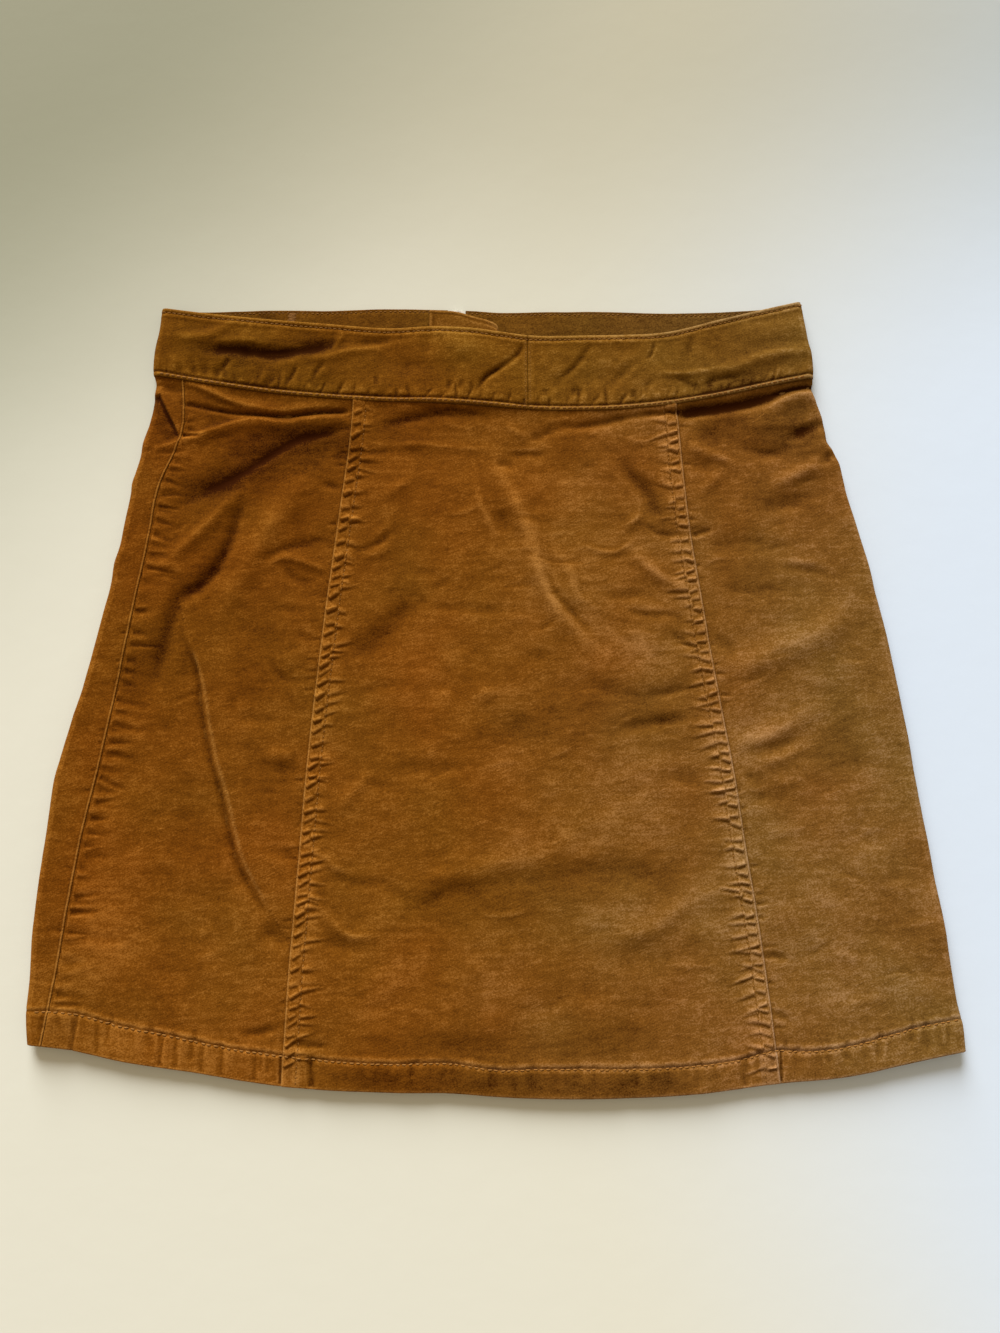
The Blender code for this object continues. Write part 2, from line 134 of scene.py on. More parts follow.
# (y, how far the side fold wanders from its plain line there, to +X)
LEFT_WANDER = (
    (-180, -0.5), (-172, -1.2), (-163, -1.6), (-145, -0.6), (-130, -1), (-100, -0.7), (-62, -0.5),
    (-51, -0.9), (-40, -0.3), (-20, 0.1), (-8, 0.2), (4, -0.6), (16, -1.2), (34, -1.4), (50, -1.1),
    (60, -1.5), (66, -0.6), (80, -0.4), (97, -0.4), (102, -1), (108, -0.5), (116, -0.3), (124, -1),
    (134, 0.4), (143, 1.1), (150, 0.8), (157, 0.6), (162, -1.2), (168, -1.8), (176, -1.9), (184, -0.9),
    (198, -0.7),
)
RIGHT_WANDER = (
    (-180, 0.8), (-170, 1.3), (-158, 0.3), (-140, 0.2), (-118, 0.4), (-104, -0.1), (-85, -0.3), (-66, -1),
    (-50, -1.2), (-30, -0.2), (-12, 0.1), (5, 0.6), (20, 1), (46, 0.5), (57, 0.8), (70, 0.2), (85, -0.2),
    (98, -0.2), (106, 0.7), (114, 1.6), (120, 0.7), (124, -0.6), (128, 0), (133, 0.9), (139, 0.7),
    (146, -0.6), (151, -1.6), (157, -0.2), (164, 1.3), (174, 2), (180, 1.5), (200, 1.2),
)
left_seam = table_curve(SIDES, "left_seam")
left_princess = table_curve(SIDES, "left_princess")
right_princess = table_curve(SIDES, "right_princess")
right_seam = table_curve(SIDES, "right_seam")
plain_left_fold = table_curve(SIDES, "left_fold")
plain_right_fold = table_curve(SIDES, "right_fold")
left_wander = pair_curve(LEFT_WANDER)
right_wander = pair_curve(RIGHT_WANDER)


def left_fold(y):
    return plain_left_fold(y) + left_wander(y)


def right_fold(y):
    return plain_right_fold(y) + right_wander(y)


print("width at the hem:", round(float(right_fold(-170) - left_fold(-170))), "mm")

# %% Lines that run across the skirt
Hem = namedtuple("Hem", "x front back")
HEMS = (
    Hem(-225, -178, -178),
    Hem(-206, -180.2, -179.3),
    Hem(-181, -185.6, -182.4),
    Hem(-150, -190.2, -186),
    Hem(-100, -197.6, -192.6),
    Hem(-50, -200.2, -195.2),
    Hem(-20, -200.6, -196.2),
    Hem(0, -202.1, -196.6),
    Hem(50, -202.9, -197),
    Hem(100, -200.4, -195),
    Hem(136, -195.9, -192.2),
    Hem(168, -192.9, -189.2),
    Hem(200, -186.2, -184),
    Hem(225, -181, -181),
)
# (x, how deep the turned hem is there)
HEM_DEPTHS = (
    (-225, 15.4), (-212, 16.6), (-182, 16), (-160, 15.2), (-140, 14), (-100, 13.9), (-56, 12.9),
    (-18, 13.3), (-2, 12.1), (23, 13.5), (60, 13.1), (100, 12.8), (120, 13.3), (134, 15.2), (145, 13.7),
    (178, 14), (200, 15.2), (225, 15.3),
)
Waist = namedtuple("Waist", "x front back front_top back_top")
WAISTS = (
    Waist(-180, 160.4, 160.4, 198.2, 198.2),
    Waist(-150, 155.4, 159, 194.6, 198),
    Waist(-120, 150.9, 158, 191.7, 199),
    Waist(-90, 148.1, 157.5, 189.2, 198.7),
    Waist(-60, 146.2, 157.2, 186.8, 199.7),
    Waist(-30, 145.3, 157, 187.4, 199.2),
    Waist(-12, 144.1, 157, 186.4, 198.6),
    Waist(0, 143, 157, 184.7, 197.7),
    Waist(18, 141.6, 157, 182.7, 197.9),
    Waist(45, 141.2, 157, 182.7, 198.2),
    Waist(60, 141.6, 157, 182.9, 198.1),
    Waist(90, 144.4, 157.3, 184.6, 197.2),
    Waist(120, 149.5, 158, 192, 197.9),
    Waist(145, 154.9, 158.8, 198, 199.6),
    Waist(166, 159, 159, 202.6, 202.6),
)
BAND_FRONT_SEAM = 16.4  # x of the seam between the band's halves
CENTRE_BACK = ((-200, -16.0), (0, -19.0), (200, -21.6))  # (y, x) along the seam at the centre back
hem_front = table_curve(HEMS, "front")
hem_back = table_curve(HEMS, "back")
hem_depth = pair_curve(HEM_DEPTHS)
waist_front = table_curve(WAISTS, "front")
waist_back = table_curve(WAISTS, "back")
top_front = table_curve(WAISTS, "front_top")
top_back = table_curve(WAISTS, "back_top")
centre_back = pair_curve(CENTRE_BACK)
print("length at the centre front:", round(float(top_front(16) - hem_front(16))), "mm")

# %% [markdown]
# ## Creases
#
# A crease in cotton is a soft ridge or trough that runs along a line and fades at its ends. It is
# seldom even: one flank is steep and the other long, because the cloth slides from one side. Simulated
# cloth falls differently on each run, so the main creases are listed one by one, each in its own size: a
# path, a half width on each side of it, and a height. The left side is the one at your left hand as you
# walk along the path.

# %% One crease
Crease = namedtuple("Crease", "path left right height fade_in fade_out")
PATH_STEPS = 14  # pieces that a curved path is read in
CREASE_REACH = 2.4  # how many half widths away a crease ends
FADE_OUTSIDE = 0.4  # share of a fade that lies before the path starts, so no crease starts at nothing


def laid(*rows, fades=(0.4, 0.4)):
    """Creases from rows of path, left, right and height, with two fades in rows that need their own."""
    return [Crease(*row[:4], *(row[4:] or fades)) for row in rows]


print("a crease has", ", ".join(Crease._fields))


# %% The height of a crease at any point
def smooth_path(points):
    """A path through the points, in short straight pieces. Two points stay one straight piece."""
    points = np.array(points, float)
    if len(points) == 2:
        return points
    along = np.concatenate(([0], np.cumsum(np.hypot(*np.diff(points, axis=0).T))))
    read_at = np.linspace(0, along[-1], PATH_STEPS + 1)
    return np.stack([smooth_curve(along, points[:, k])(read_at) for k in (0, 1)], axis=1)


def soft_step(value, low, high):
    """0 below low, 1 above high, and a smooth rise between them."""
    t = np.clip((value - low) / (high - low), 0, 1)
    return t * t * (3 - 2 * t)


def crease_share(crease, x, y):
    """How much of a crease's height each point gets: 1 on its line, 0 away from it."""
    path = smooth_path(crease.path)
    start, run = path[:-1], np.diff(path, axis=0)
    lengths = np.hypot(run[:, 0], run[:, 1])
    dx = x[:, None] - start[:, 0]
    dy = y[:, None] - start[:, 1]
    t = np.clip((dx * run[:, 0] + dy * run[:, 1]) / lengths**2, 0, 1)
    apart = np.hypot(dx - t * run[:, 0], dy - t * run[:, 1])
    nearest = apart.argmin(axis=1)
    pick = np.arange(len(x)), nearest
    at_left = (run[:, 0] * dy - run[:, 1] * dx)[pick] > 0
    width = np.where(at_left, crease.left, crease.right)
    walked = (np.cumsum(lengths) - lengths)[nearest] + t[pick] * lengths[nearest]
    share = walked / lengths.sum()
    fade = 1
    for from_end, long in ((share, crease.fade_in), (1 - share, crease.fade_out)):
        if long:
            fade = fade * soft_step(from_end, -FADE_OUTSIDE * long, long)
    return hump(apart[pick], width) * fade


def relief(creases, x, y):
    """The heights of all the creases at the points x, y, added up."""
    total = np.zeros(x.shape)
    x_min, x_max, y_min, y_max = x.min(), x.max(), y.min(), y.max()
    for crease in creases:
        xs, ys = zip(*crease.path)
        reach = CREASE_REACH * max(crease.left, crease.right)
        west, east, south, north = min(xs) - reach, max(xs) + reach, min(ys) - reach, max(ys) + reach
        if west > x_max or east < x_min or south > y_max or north < y_min:
            continue
        near = (x > west) & (x < east) & (y > south) & (y < north)
        if near.any():
            total[near] += crease.height * crease_share(crease, x[near], y[near])
    return total


print("a crease ends", CREASE_REACH, "half widths from its path")

# %% The creases at the left
LEFT_CREASES = laid(
    # under the band, left
    (((-165, 157), (-158, 155), (-146, 149), (-132, 144), (-120, 141)), 2.6, 1.8, 1.3, 0.1, 0.4),
    (((-135, 147), (-126, 143), (-114, 141), (-97, 143), (-79, 146)), 3.08, 2.24, 0.7),
    (((-165.5, 144.9), (-153.3, 142.7), (-140.1, 140.5), (-125.9, 139.4), (-114.3, 138.3), (-96.5, 140),
        (-77.6, 141.1)), 1.6, 1.4, -1.6, 0.3, 0.05),
    (((-177, 120), (-160, 126), (-149, 130), (-138, 134), (-126, 136), (-114, 134), (-96, 136), (-79, 137)),
        2, 5, 1.6, 0.2, 0.1),
    (((-163.4, 144.4), (-157.1, 144.4)), 1.5, 1.25, -0.55),
    (((-164, 135), (-157.7, 135)), 1.5, 1.25, -0.47),
    (((-164.2, 127.4), (-155.3, 127.6)), 1.12, 1.12, -1.25, 0.05, 0.25),
    # the turned pleat at the top of the left fold
    (((-179.1, 154.3), (-175.6, 147.1), (-170.4, 137.2), (-165.3, 127.4)), 5, 1, 0.55, 0.05, 0.2),
    (((-179.9, 153.8), (-176.4, 146.6), (-171.4, 136.7), (-166.6, 127.4)), 0.7, 1.5, -0.8, 0.05, 0.2),
    (((-178, 155), (-166, 152)), 2.24, 2.24, -0.8),
    # down the left side front
    (((-80, 132), (-93, 128), (-105, 125), (-119, 116), (-131, 108), (-142, 102), (-157, 95), (-164, 89)),
        2.4, 2.8, -0.95, 0.1, 0.6),
    (((-131, 108), (-142, 102), (-157, 95), (-164, 89)), 5.85, 7.15, -0.98),
    (((-130, 99), (-139, 91), (-150, 79), (-160, 69), (-173, 57)), 4, 3.4, 1.4, 0.3, 0.3),
    (((-174, 59), (-160, 55)), 3.25, 3.25, 0.7),
    (((-132, 93), (-135, 80), (-140, 65), (-146, 54), (-154, 46), (-162, 41)), 3.4, 3.2, -1.6, 0.3, 0.2),
    (((-154, 46), (-162, 41), (-166, 29), (-169, 17), (-172, 4), (-176, -9)), 4.2, 5, -1.2, 0.3, 0.3),
    (((-91, 109), (-101, 100), (-110, 87), (-120, 74), (-127, 59), (-136, 42), (-147, 26)), 7.5, 7, 1.6,
        0.3, 0.3),
    (((-121, 58), (-117, 63), (-112, 66), (-102, 69), (-89, 71)), 2.4, 2.6, -0.7, 0.3, 0.5),
    (((-118, 59), (-109, 62), (-97, 59), (-87, 55)), 2.6, 2, 0.8, 0.3, 0.3),
    (((-109, 57), (-103, 51), (-94, 50), (-89, 52)), 2, 2.6, -0.5, 0.3, 0.5),
    (((-91, 102), (-81, 99)), 2.24, 2.24, -0.8),
    (((-114, 35), (-94, 34)), 2.52, 2.52, -0.5),
    (((-104, 24), (-91, 18)), 2.52, 2.52, -0.5),
    (((-113, 18), (-114, 8), (-109, 1), (-90, -2)), 2.52, 2.52, -0.5),
    (((-105, 14), (-100, 5)), 6.5, 6.5, 0.56),
    (((-132, -9), (-133, -19)), 2.8, 2.8, -0.4),
    (((-132, -21), (-108, -22)), 2.8, 2.8, -0.5),
    (((-117, -40), (-100, -38)), 3.38, 3.38, 0.84),
    (((-114, -46), (-98, -47)), 2.8, 2.4, -0.5, 0.5, 0.5),
    (((-116, -86), (-107, -87), (-97, -91)), 3.9, 3.9, -0.84),
    (((-117, -124), (-110, -127), (-101, -132)), 4.55, 5.2, -0.98),
    (((-122, -173), (-116, -173), (-107, -171)), 2.24, 1.82, -1),
    (((-103, -176), (-94, -178), (-80, -179)), 1.75, 1.5, -0.78),
    # the long crease from the left fold down to the strip
    (((-158, 26), (-155, 17), (-151, 9), (-149, 1), (-146, -12), (-144, -23), (-139, -43), (-133, -61),
        (-129, -77), (-124, -92), (-118, -103), (-112, -113)), 14, 1.9, 1.5, 0.2, 0.2),
    (((-155, 16), (-151, 3), (-149.5, -12), (-147.5, -23), (-142.5, -43), (-136.5, -61), (-132.5, -77),
        (-127.5, -93), (-120.5, -106), (-113.5, -115)), 1.0, 2.6, -0.8, 0.1, 0.2),
)
print(len(LEFT_CREASES), "creases on the left side front")

# %% The creases of the centre panel
CENTRE_CREASES = laid(
    # its top
    (((-61, 132), (-44, 138), (-20, 141), (-1, 138)), 3.12, 3.12, -1.54),
    (((-61, 122), (-41, 123), (-20, 121), (-3, 120)), 2.1, 2.52, 0.6),
    (((-68, 118), (-51, 120)), 2.4, 2.6, -0.56, 0.5, 0.5),
    (((3, 135), (16, 125)), 2.52, 2.52, 0.7),
    (((16, 125), (31, 131)), 2.52, 2.52, -0.9),
    (((28.9, 131.7), (49.9, 133.9), (68.9, 137.8), (82, 140)), 2.4, 2.6, -1.3, 0.4, 0.3),
    (((8, 119.7), (23.1, 119.7)), 2, 1.5, 0.39),
    (((5.9, 116.5), (16.8, 118.1), (27.8, 115.4)), 2.4, 2.4, -0.7, 0.5, 0.5),
    (((-1, 113), (10, 110)), 3.12, 3.12, -1.12),
    (((-4, 117), (6, 99), (12, 86), (18, 73), (21, 59), (27, 45), (33, 33), (45, 19)), 5.5, 6, 2.3, 0.3,
        0.4),
    (((25, 55), (30, 44), (39, 33), (49, 22)), 2.4, 2.6, -1.38),
    (((31, 65), (38, 54), (43, 40), (50, 37)), 2.86, 3.64, 1.26),
    (((-12, 106), (-7, 88), (-1, 75)), 1.96, 2.52, 0.8),
    (((1, 88), (5, 75)), 3.9, 3.9, -1.12),
    (((63, 116), (70, 107), (78, 98), (82, 88), (87, 83)), 4, 4.4, -1.25),
    (((74.1, 81), (84.3, 75.1), (99.7, 73.5)), 2, 2.2, -0.75, 0.5, 0.3),
    (((66, 77), (75, 86)), 2.24, 2.24, 0.8),
    (((43, 69), (60, 65), (73, 73)), 1.5, 2, 0.55),
    (((70, 66), (79, 57), (87, 50), (99, 47)), 3.4, 3.4, 1.2, 0.4, 0.2),
    (((49, 50), (60, 42), (76, 42), (91, 37)), 3.4, 3.4, -0.62, 0.5, 0.5),
    (((63, 36), (78, 32), (89, 32), (99, 28)), 2, 2.6, -0.69, 0.5, 0.5),
    (((89, 22), (95, 19), (101, 15)), 1.96, 2.24, -0.9),
    (((-59, 94), (-43, 105)), 2.86, 3.12, 0.84),
    (((-66, 70), (-54, 82)), 2.4, 2.4, 0.5, 0.4, 0.5),
    (((-72.4, 65.6), (-63.2, 68.8), (-52, 77.8)), 2, 2, -0.69, 0.5, 0.5),
    (((-66, 61), (-54, 69)), 3.38, 3.38, 0.7),
    # its middle and its foot
    (((-76, 13), (-62, 20), (-53, 29), (-43, 39)), 5.2, 5.2, -0.98),
    (((-40, 42), (-35, 37)), 2.8, 2.8, -0.5),
    (((-34, 36), (-6, 35), (8, 33)), 2.8, 2.8, -0.5),
    (((-10, -8), (1, -8)), 3.9, 3.9, 0.7),
    (((21, -2), (37, -6), (48, -4), (59, -7), (75, -10), (90, -6), (101, -3)), 4.5, 4.5, -0.75, 0.4, 0.3),
    (((77.4, -8.5), (90, -6.9), (100.7, -3.4)), 2, 2, -0.5),
    (((-70, -8), (-59, -5), (-43, -4)), 2.4, 2.4, -0.4, 0.5, 0.5),
    (((-3, -32), (8, -26), (19, -20)), 7.8, 7.8, -0.84),
    (((58, -27), (77, -23), (98, -20)), 3.12, 3.12, -0.98),
    (((-79, -67), (-73, -59), (-66, -51), (-62, -44)), 2.8, 3.64, 0.8),
    (((-67, -52), (-51, -56)), 2.6, 2.6, -0.4, 0.5, 0.5),
    (((-51, -47), (-33, -46), (-13, -45)), 3.9, 3.9, -0.7),
    (((85, -50), (104, -52)), 3.9, 3.9, -0.84),
    (((-87, -86), (-81, -93), (-74, -97)), 2.24, 2.8, 0.7),
    (((-86, -92), (-78, -99), (-71, -102), (-57, -101), (-50, -106), (-41, -111), (-33, -111), (-24, -105),
        (-13, -103), (2, -102), (24, -100)), 2.4, 3.6, -0.5, 0.2, 0.6),
    (((-13, -102), (21, -99), (51, -96), (78, -97), (103, -94)), 6.5, 6.5, -0.98),
    (((-40, -103), (-25, -98), (-3, -93), (21, -90)), 4.55, 6.5, 0.84),
    (((-87, -112), (-79, -122), (-71, -127), (-58, -127)), 2.38, 2.8, 0.8),
    (((-85, -130), (-69, -134)), 3.9, 3.9, -0.84),
    (((51, -124), (65, -126), (80, -122), (90, -113), (106, -107)), 5.2, 5.2, 0.84),
    (((50, -135), (75, -138), (99, -133)), 6.5, 6.5, -0.7),
    (((-37, -176), (-8, -178), (21, -177)), 6.5, 6.5, -0.7),
)
print(len(CENTRE_CREASES), "creases on the centre front")

# %% The creases at the right
RIGHT_CREASES = laid(
    # the tuck under the band and the bulge that hangs from it
    (((94.1, 139.4), (106.8, 141.1), (122.6, 143.3), (137.4, 146.6), (150.2, 150.5)), 4.2, 3, -3, 0.15,
        0.35),
    (((75.2, 138.9), (85.7, 140.5), (97.3, 141.1)), 1.8, 2.2, -1.4, 0.4, 0.2),
    (((142, 141), (149, 146), (157, 149), (165, 150)), 2.4, 6, 2.1, 0.4, 0),
    (((143.9, 149.9), (155.6, 153.2), (165.7, 154.9)), 1.3, 1.4, -1.7, 0.3, 0),
    (((131, 131), (142, 134), (154, 139)), 7, 6.5, 1.17),
    (((151, 125), (161, 130), (171, 135)), 3, 3.4, -1.43, 0.5, 0.1),
    (((128, 121), (142, 118), (155, 121)), 3.2, 3.6, -1.17, 0.5, 0.5),
    (((165, 109), (178, 120)), 2.8, 3.5, -1.1),
    (((101, 133), (118, 125)), 5, 5, -0.65, 0.5, 0.5),
    # down the right side front
    (((99, 122), (112, 117), (126, 111)), 3.6, 3.8, 1.3, 0.2, 0.5),
    (((100, 112), (114, 109)), 2.6, 2.6, -0.52, 0.4, 0.5),
    (((104, 95), (118, 108)), 3.4, 3.4, 0.78, 0.4, 0.5),
    (((141, 99), (157, 107), (173, 113)), 4, 4.4, 1.56, 0.4, 0.2),
    (((137, 89), (152, 92), (169, 97)), 4, 4, -0.91, 0.4, 0.5),
    (((100.8, 74.1), (111.2, 77.3)), 1.8, 1.8, -1.04, 0.2, 0.4),
    (((106, 65), (116, 69), (131, 69), (154, 68)), 4.4, 4.4, -1.1, 0.4, 0.5),
    (((148, 60), (169, 59)), 2.4, 2.6, 0.52, 0.5, 0.5),
    (((142, 57), (156, 56), (176, 51)), 2.4, 2.6, -0.45, 0.5, 0.5),
    (((117, 4), (133, 8), (149, 15), (164, 22), (180, 35)), 7.5, 8, 2, 0.3, 0.3),
    (((116, -5), (129, -1), (149, 5)), 4, 4, -0.45, 0.5, 0.5),
    (((111, 21), (123, 11)), 3.9, 3.9, -0.84),
    (((119, -35), (132, -31), (147, -24), (160, -16)), 5, 5, 1.3),
    (((124, -38), (139, -35), (154, -29)), 3, 3.4, -0.59, 0.5, 0.5),
    (((132, -43), (144, -40), (153, -35)), 3.12, 3.12, 0.84),
    (((122, -50), (135, -52)), 3.38, 3.38, -0.84),
    (((124, -61), (146, -60)), 3.9, 3.9, -0.7),
    (((131.2, -161.6), (142.5, -167.6)), 2, 2, -0.65, 0.5, 0.5),
    (((131.2, -135.8), (142.8, -138.6)), 1.96, 1.96, -0.7),
)
PANEL_CREASES = LEFT_CREASES + CENTRE_CREASES + RIGHT_CREASES
print(len(PANEL_CREASES), "creases laid by hand on the panels")

# %% [markdown]
# Between them run hundreds of faint wrinkles that nobody would miss one by one. A loop with a seeded
# random generator lays them, as the same crease form, so they add up with the others.

# %% Loose wrinkles
def loose_wrinkles(count, seed):
    """Faint short wrinkles, most of them nearly level, and more of them towards the waist."""
    chance = np.random.default_rng(seed)
    made = []
    for _ in range(count):
        y = 142 - 310 * chance.random() ** 1.35
        x = chance.uniform(float(left_fold(y)) + 5, float(right_fold(y)) - 5)
        half, lean = chance.uniform(4, 14), np.radians(chance.normal(3, 16))
        dx, dy, bow = half * np.cos(lean), half * np.sin(lean), chance.uniform(-0.25, 0.25) * half
        wide = chance.uniform(1.6, 4.0)
        height = chance.choice((-1, 1)) * chance.uniform(0.1, 0.45) * (1.0 if y > 30 else 0.8)
        path = ((x - dx, y - dy), (x, y + bow), (x + dx, y + dy))
        made.append(Crease(path, wide, wide * chance.uniform(0.5, 1.4), height, 0.4, 0.4))
    return made


LOOSE_WRINKLES = loose_wrinkles(230, 31)
print(len(LOOSE_WRINKLES), "loose wrinkles")

# %% [markdown]
# Brushed cloth changes its tone without any fold too: where a hand or a crease has laid the nap another
# way it looks darker or lighter. Many of these patches also paint shade where less light falls: in the
# troughs, beside the folds and under the band. They are listed like the creases, in the same form, with
# a tone in place of a height: 0.1 is a clear step, and negative is darker.

# %% Where the nap lies another way, and where shade is painted
PLAIN_FADES = (0.25, 0.25)
CLEAR_STROKES = laid(
    (((-179.1, 153.8), (-174.4, 144.9), (-170.4, 136.1), (-166.3, 127.4)), 0.4, 8, -0.34, 0.15, 0.02),
    (((-177, 147), (-151, 142), (-135, 141)), 6, 6, -0.11),
    (((-142, 119), (-103, 125), (-61, 121)), 14, 14, -0.26),
    (((-161, 136), (-140, 125), (-141, 103)), 9, 9, -0.09),
    (((-82, 132), (-105, 125), (-131, 108), (-157, 94)), 4, 5, -0.12),
    (((-137, 82), (-146, 58), (-155, 49), (-164, 40), (-169, 19), (-175, -6)), 3.5, 7, -0.14, 0.3, 0.25),
    (((-135, 77), (-152, 40), (-165, -12)), 14, 14, -0.08),
    (((-121, 60), (-115, 65), (-101, 69), (-89, 69)), 3, 3, -0.06),
    (((-125, -92), (-120, -100), (-115, -109)), 1.5, 4.5, -0.12),
    (((-112, -47), (-99, -48)), 6, 5, -0.09),
    (((-125, 22), (-105, 18)), 9, 9, -0.08),
    (((94.1, 140.5), (114.7, 142.7), (130.5, 145.5), (146.5, 149.3), (165.7, 156)), 2.6, 3, -0.26, 0.15,
        0.05),
    (((130.6, 147.1), (146.5, 151), (165.8, 158.2)), 4, 4, -0.12, 0.4, 0.05),
    (((148, 141), (164, 143)), 4, 5, -0.16),
    (((-67, 131), (-30, 138), (-1, 136)), 5, 5, -0.11),
    (((63, 116), (78, 98), (87, 84)), 4, 4, -0.14),
    (((1, 108), (12, 86), (21, 59), (32, 33), (39, 22)), 2, 2.4, 0.06),
    (((71, 63), (82, 54), (96, 48)), 1.6, 1.8, 0.08),
    (((25, 56), (30, 45), (39, 33), (50, 20)), 2, 2, -0.06),
    (((17, 103), (39, 103)), 6, 6, 0.09),
    (((25, 87), (58, 53), (83, 19)), 24, 24, 0.08),
    (((-76, 13), (-59, 22), (-42, 40)), 6, 6, -0.12),
    (((2, -24), (47, -14), (97, -20)), 11, 9, -0.16),
    (((-56, -106), (2, -108), (55, -105)), 8, 8, -0.11),
    (((156, 132), (170, 127)), 5, 5, -0.16),
    (((150, 93), (172, 81)), 6, 6, -0.12),
    (((105, 63), (135, 45), (150, 40)), 7, 7, -0.11),
    (((119, -34), (147, -24)), 4, 4, 0.08),
    (((21, -81), (61, -74), (96, -69)), 12, 12, 0.08),
    (((-206, -157), (-199, -124), (-190, -96)), 14, 14, 0.09),
    (((-52, -143), (-32, -144)), 9, 9, 0.08),
    (((-89, -191), (-46, -194), (2, -196), (50, -197), (97, -194)), 8, 8, -0.26, 0.1, 0.1),
    (((-201, -174), (-162, -181), (-118, -189)), 9, 9, 0.08),
    (((146, -181), (194, -171), (219, -167)), 8, 8, -0.06),
    (((144, -100), (186, -143)), 36, 36, 0.06, 0.5, 0.5),
    (((106, 130), (119, 124)), 7, 6, -0.14),
    (((127, 99), (144, 90)), 9, 7, -0.11),
    (((-61, 133), (-30, 125)), 10, 10, -0.11),
    (((-50, 109), (-29, 82)), 12, 10, -0.06),
    (((33, 125), (54, 114)), 9, 9, -0.09),
    (((48, 32), (78, 28), (98, 25)), 7, 7, -0.09),
    (((-75, -174), (-32, -179), (2, -181), (79, -179)), 5, 5, -0.14),
    (((162, -136), (177, -134)), 9, 9, 0.08),
    fades=PLAIN_FADES,
)
print(len(CLEAR_STROKES), "clear patches")

# %% Patches that fade more slowly
SOFT_STROKES = laid(
    (((-176, 19), (-133, -52), (-120, -129)), 40, 40, -0.04, 0.4, 0.5),
    (((-166, 103), (-145, 100), (-103, 113)), 8, 11, -0.22, 0.3, 0.4),
    (((-155, 131), (-81, 71), (-99, -6)), 40, 40, -0.05),
    (((2, -85), (41, -84)), 7, 7, 0.06, 0.5, 0.5),
    (((127, 123), (166, 121)), 7, 7, -0.14, 0.4, 0.2),
    (((-153, 146), (-123, 139)), 5, 5, 0.07),
    (((-104, 93), (-98, 58)), 9, 9, -0.13),
    (((101, 136), (133, 136), (167, 130)), 7, 9, -0.2, 0.4, 0.2),
    (((-183, 15), (-184, -12)), 7, 7, -0.16),
    (((-143, -6), (-100, 4)), 12, 12, -0.14),
    (((61, 81), (100, 82)), 7, 7, -0.12, 0.5, 0.5),
    (((-65, 39), (-32, 48)), 10, 10, -0.08, 0.5, 0.5),
    (((25, 24), (63, 17), (98, 9)), 15, 13, 0.08),
    (((-21, -32), (22, -30), (72, -31)), 7, 7, -0.09),
    (((39, -102), (95, -100)), 8, 8, -0.09),
    (((-201, -160), (-174, -117)), 12, 12, 0.1),
    (((2, -171), (45, -172), (93, -171)), 5, 5, -0.1),
    (((-75, -187), (-17, -191)), 6, 6, 0.05, 0.5, 0.5),
    (((30, -189), (78, -188)), 6, 6, 0.12),
    (((-44, -14), (-18, -6)), 8, 8, 0.07, 0.5, 0.5),
    (((-168, 125), (-147, 122)), 7, 7, 0.09, 0.4, 0.5),
    (((173, 1), (178, -57)), 6, 8, -0.1),
)
NAP_AND_SHADE_STROKES = CLEAR_STROKES + SOFT_STROKES
# These patches carry turned nap and painted shade in the folds and under the band.
print(len(NAP_AND_SHADE_STROKES), "patches of turned nap on the panels")

# %% Turned and rubbed nap elsewhere, and painted shade on the band
BAND_NAP_AND_SHADE_STROKES = laid(
    (((-162.1, 174.2), (-124, 173.1), (-82.9, 176.5)), 5, 4, -0.22),
    (((-169.6, 177), (-125.1, 174.2), (-88.1, 173.1)), 15, 15, -0.08),
    (((-132.5, 173.1), (-136.4, 164.2)), 2.2, 2.2, -0.1),
    (((-116.6, 170.9), (-118.4, 162)), 3, 3, -0.06),
    (((107.5, 177), (160.3, 175.3)), 14, 14, -0.08),
    (((-146.8, 162), (-114, 157.5), (-85, 154.2)), 6, 5, -0.09),
    (((-137.1, 183.7), (-112.7, 184.3)), 4, 4, 0.09),
    (((-104.1, 178.7), (-84, 178.7)), 5, 5, -0.12),
    (((12.3, 179.8), (14.4, 167.5)), 2.4, 3, -0.12),
    (((19.7, 182.1), (20.2, 175.9)), 1.6, 1.6, 0.08),
    (((33.6, 192.2), (70.7, 193.3)), 7, 6, 0.12),
    (((86.1, 167.5), (111.3, 164.2)), 5, 3, 0.07),
    (((102.5, 150.9), (125.2, 154.2), (142.7, 158.6)), 4, 4, -0.25),
    (((33.2, 153.1), (54.2, 150.9), (75.2, 152)), 4, 4, -0.08),
    (((-40.7, 185.4), (-22.1, 182.6)), 8, 6, 0.08),
    (((112.1, 156.4), (142.9, 162.5)), 4, 4, -0.1, 0.4, 0.4),
    (((-40.6, 180.9), (-11.5, 183.2)), 6, 6, 0.07, 0.5, 0.5),
    (((-58.9, 160.9), (-11.5, 159.8)), 5, 5, -0.08, 0.4, 0.4),
    (((-178.4, 182.6), (-166.8, 162)), 7, 7, -0.08, 0.3, 0.3),
    fades=PLAIN_FADES,
)
# Lines along which a sharp fold has rubbed the nap off
RUBBED_FOLDS = laid(
    (((-154, 14), (-149, 1), (-146, -12), (-144, -23), (-139, -43), (-133, -61), (-129, -77), (-124, -92),
        (-118, -103), (-112, -113)), 0.6, 0.6, 0.75, 0.05, 0.15),
)
# The band's patches carry turned nap and painted shade in its folds.
print(len(BAND_NAP_AND_SHADE_STROKES), "patches of turned nap on the band")

# %% [markdown]
# The waistband is stiffer, so its creases are narrower and sharper. Most of them are short folds that
# run down to the stitches at its foot, where the panels' fullness is held in.

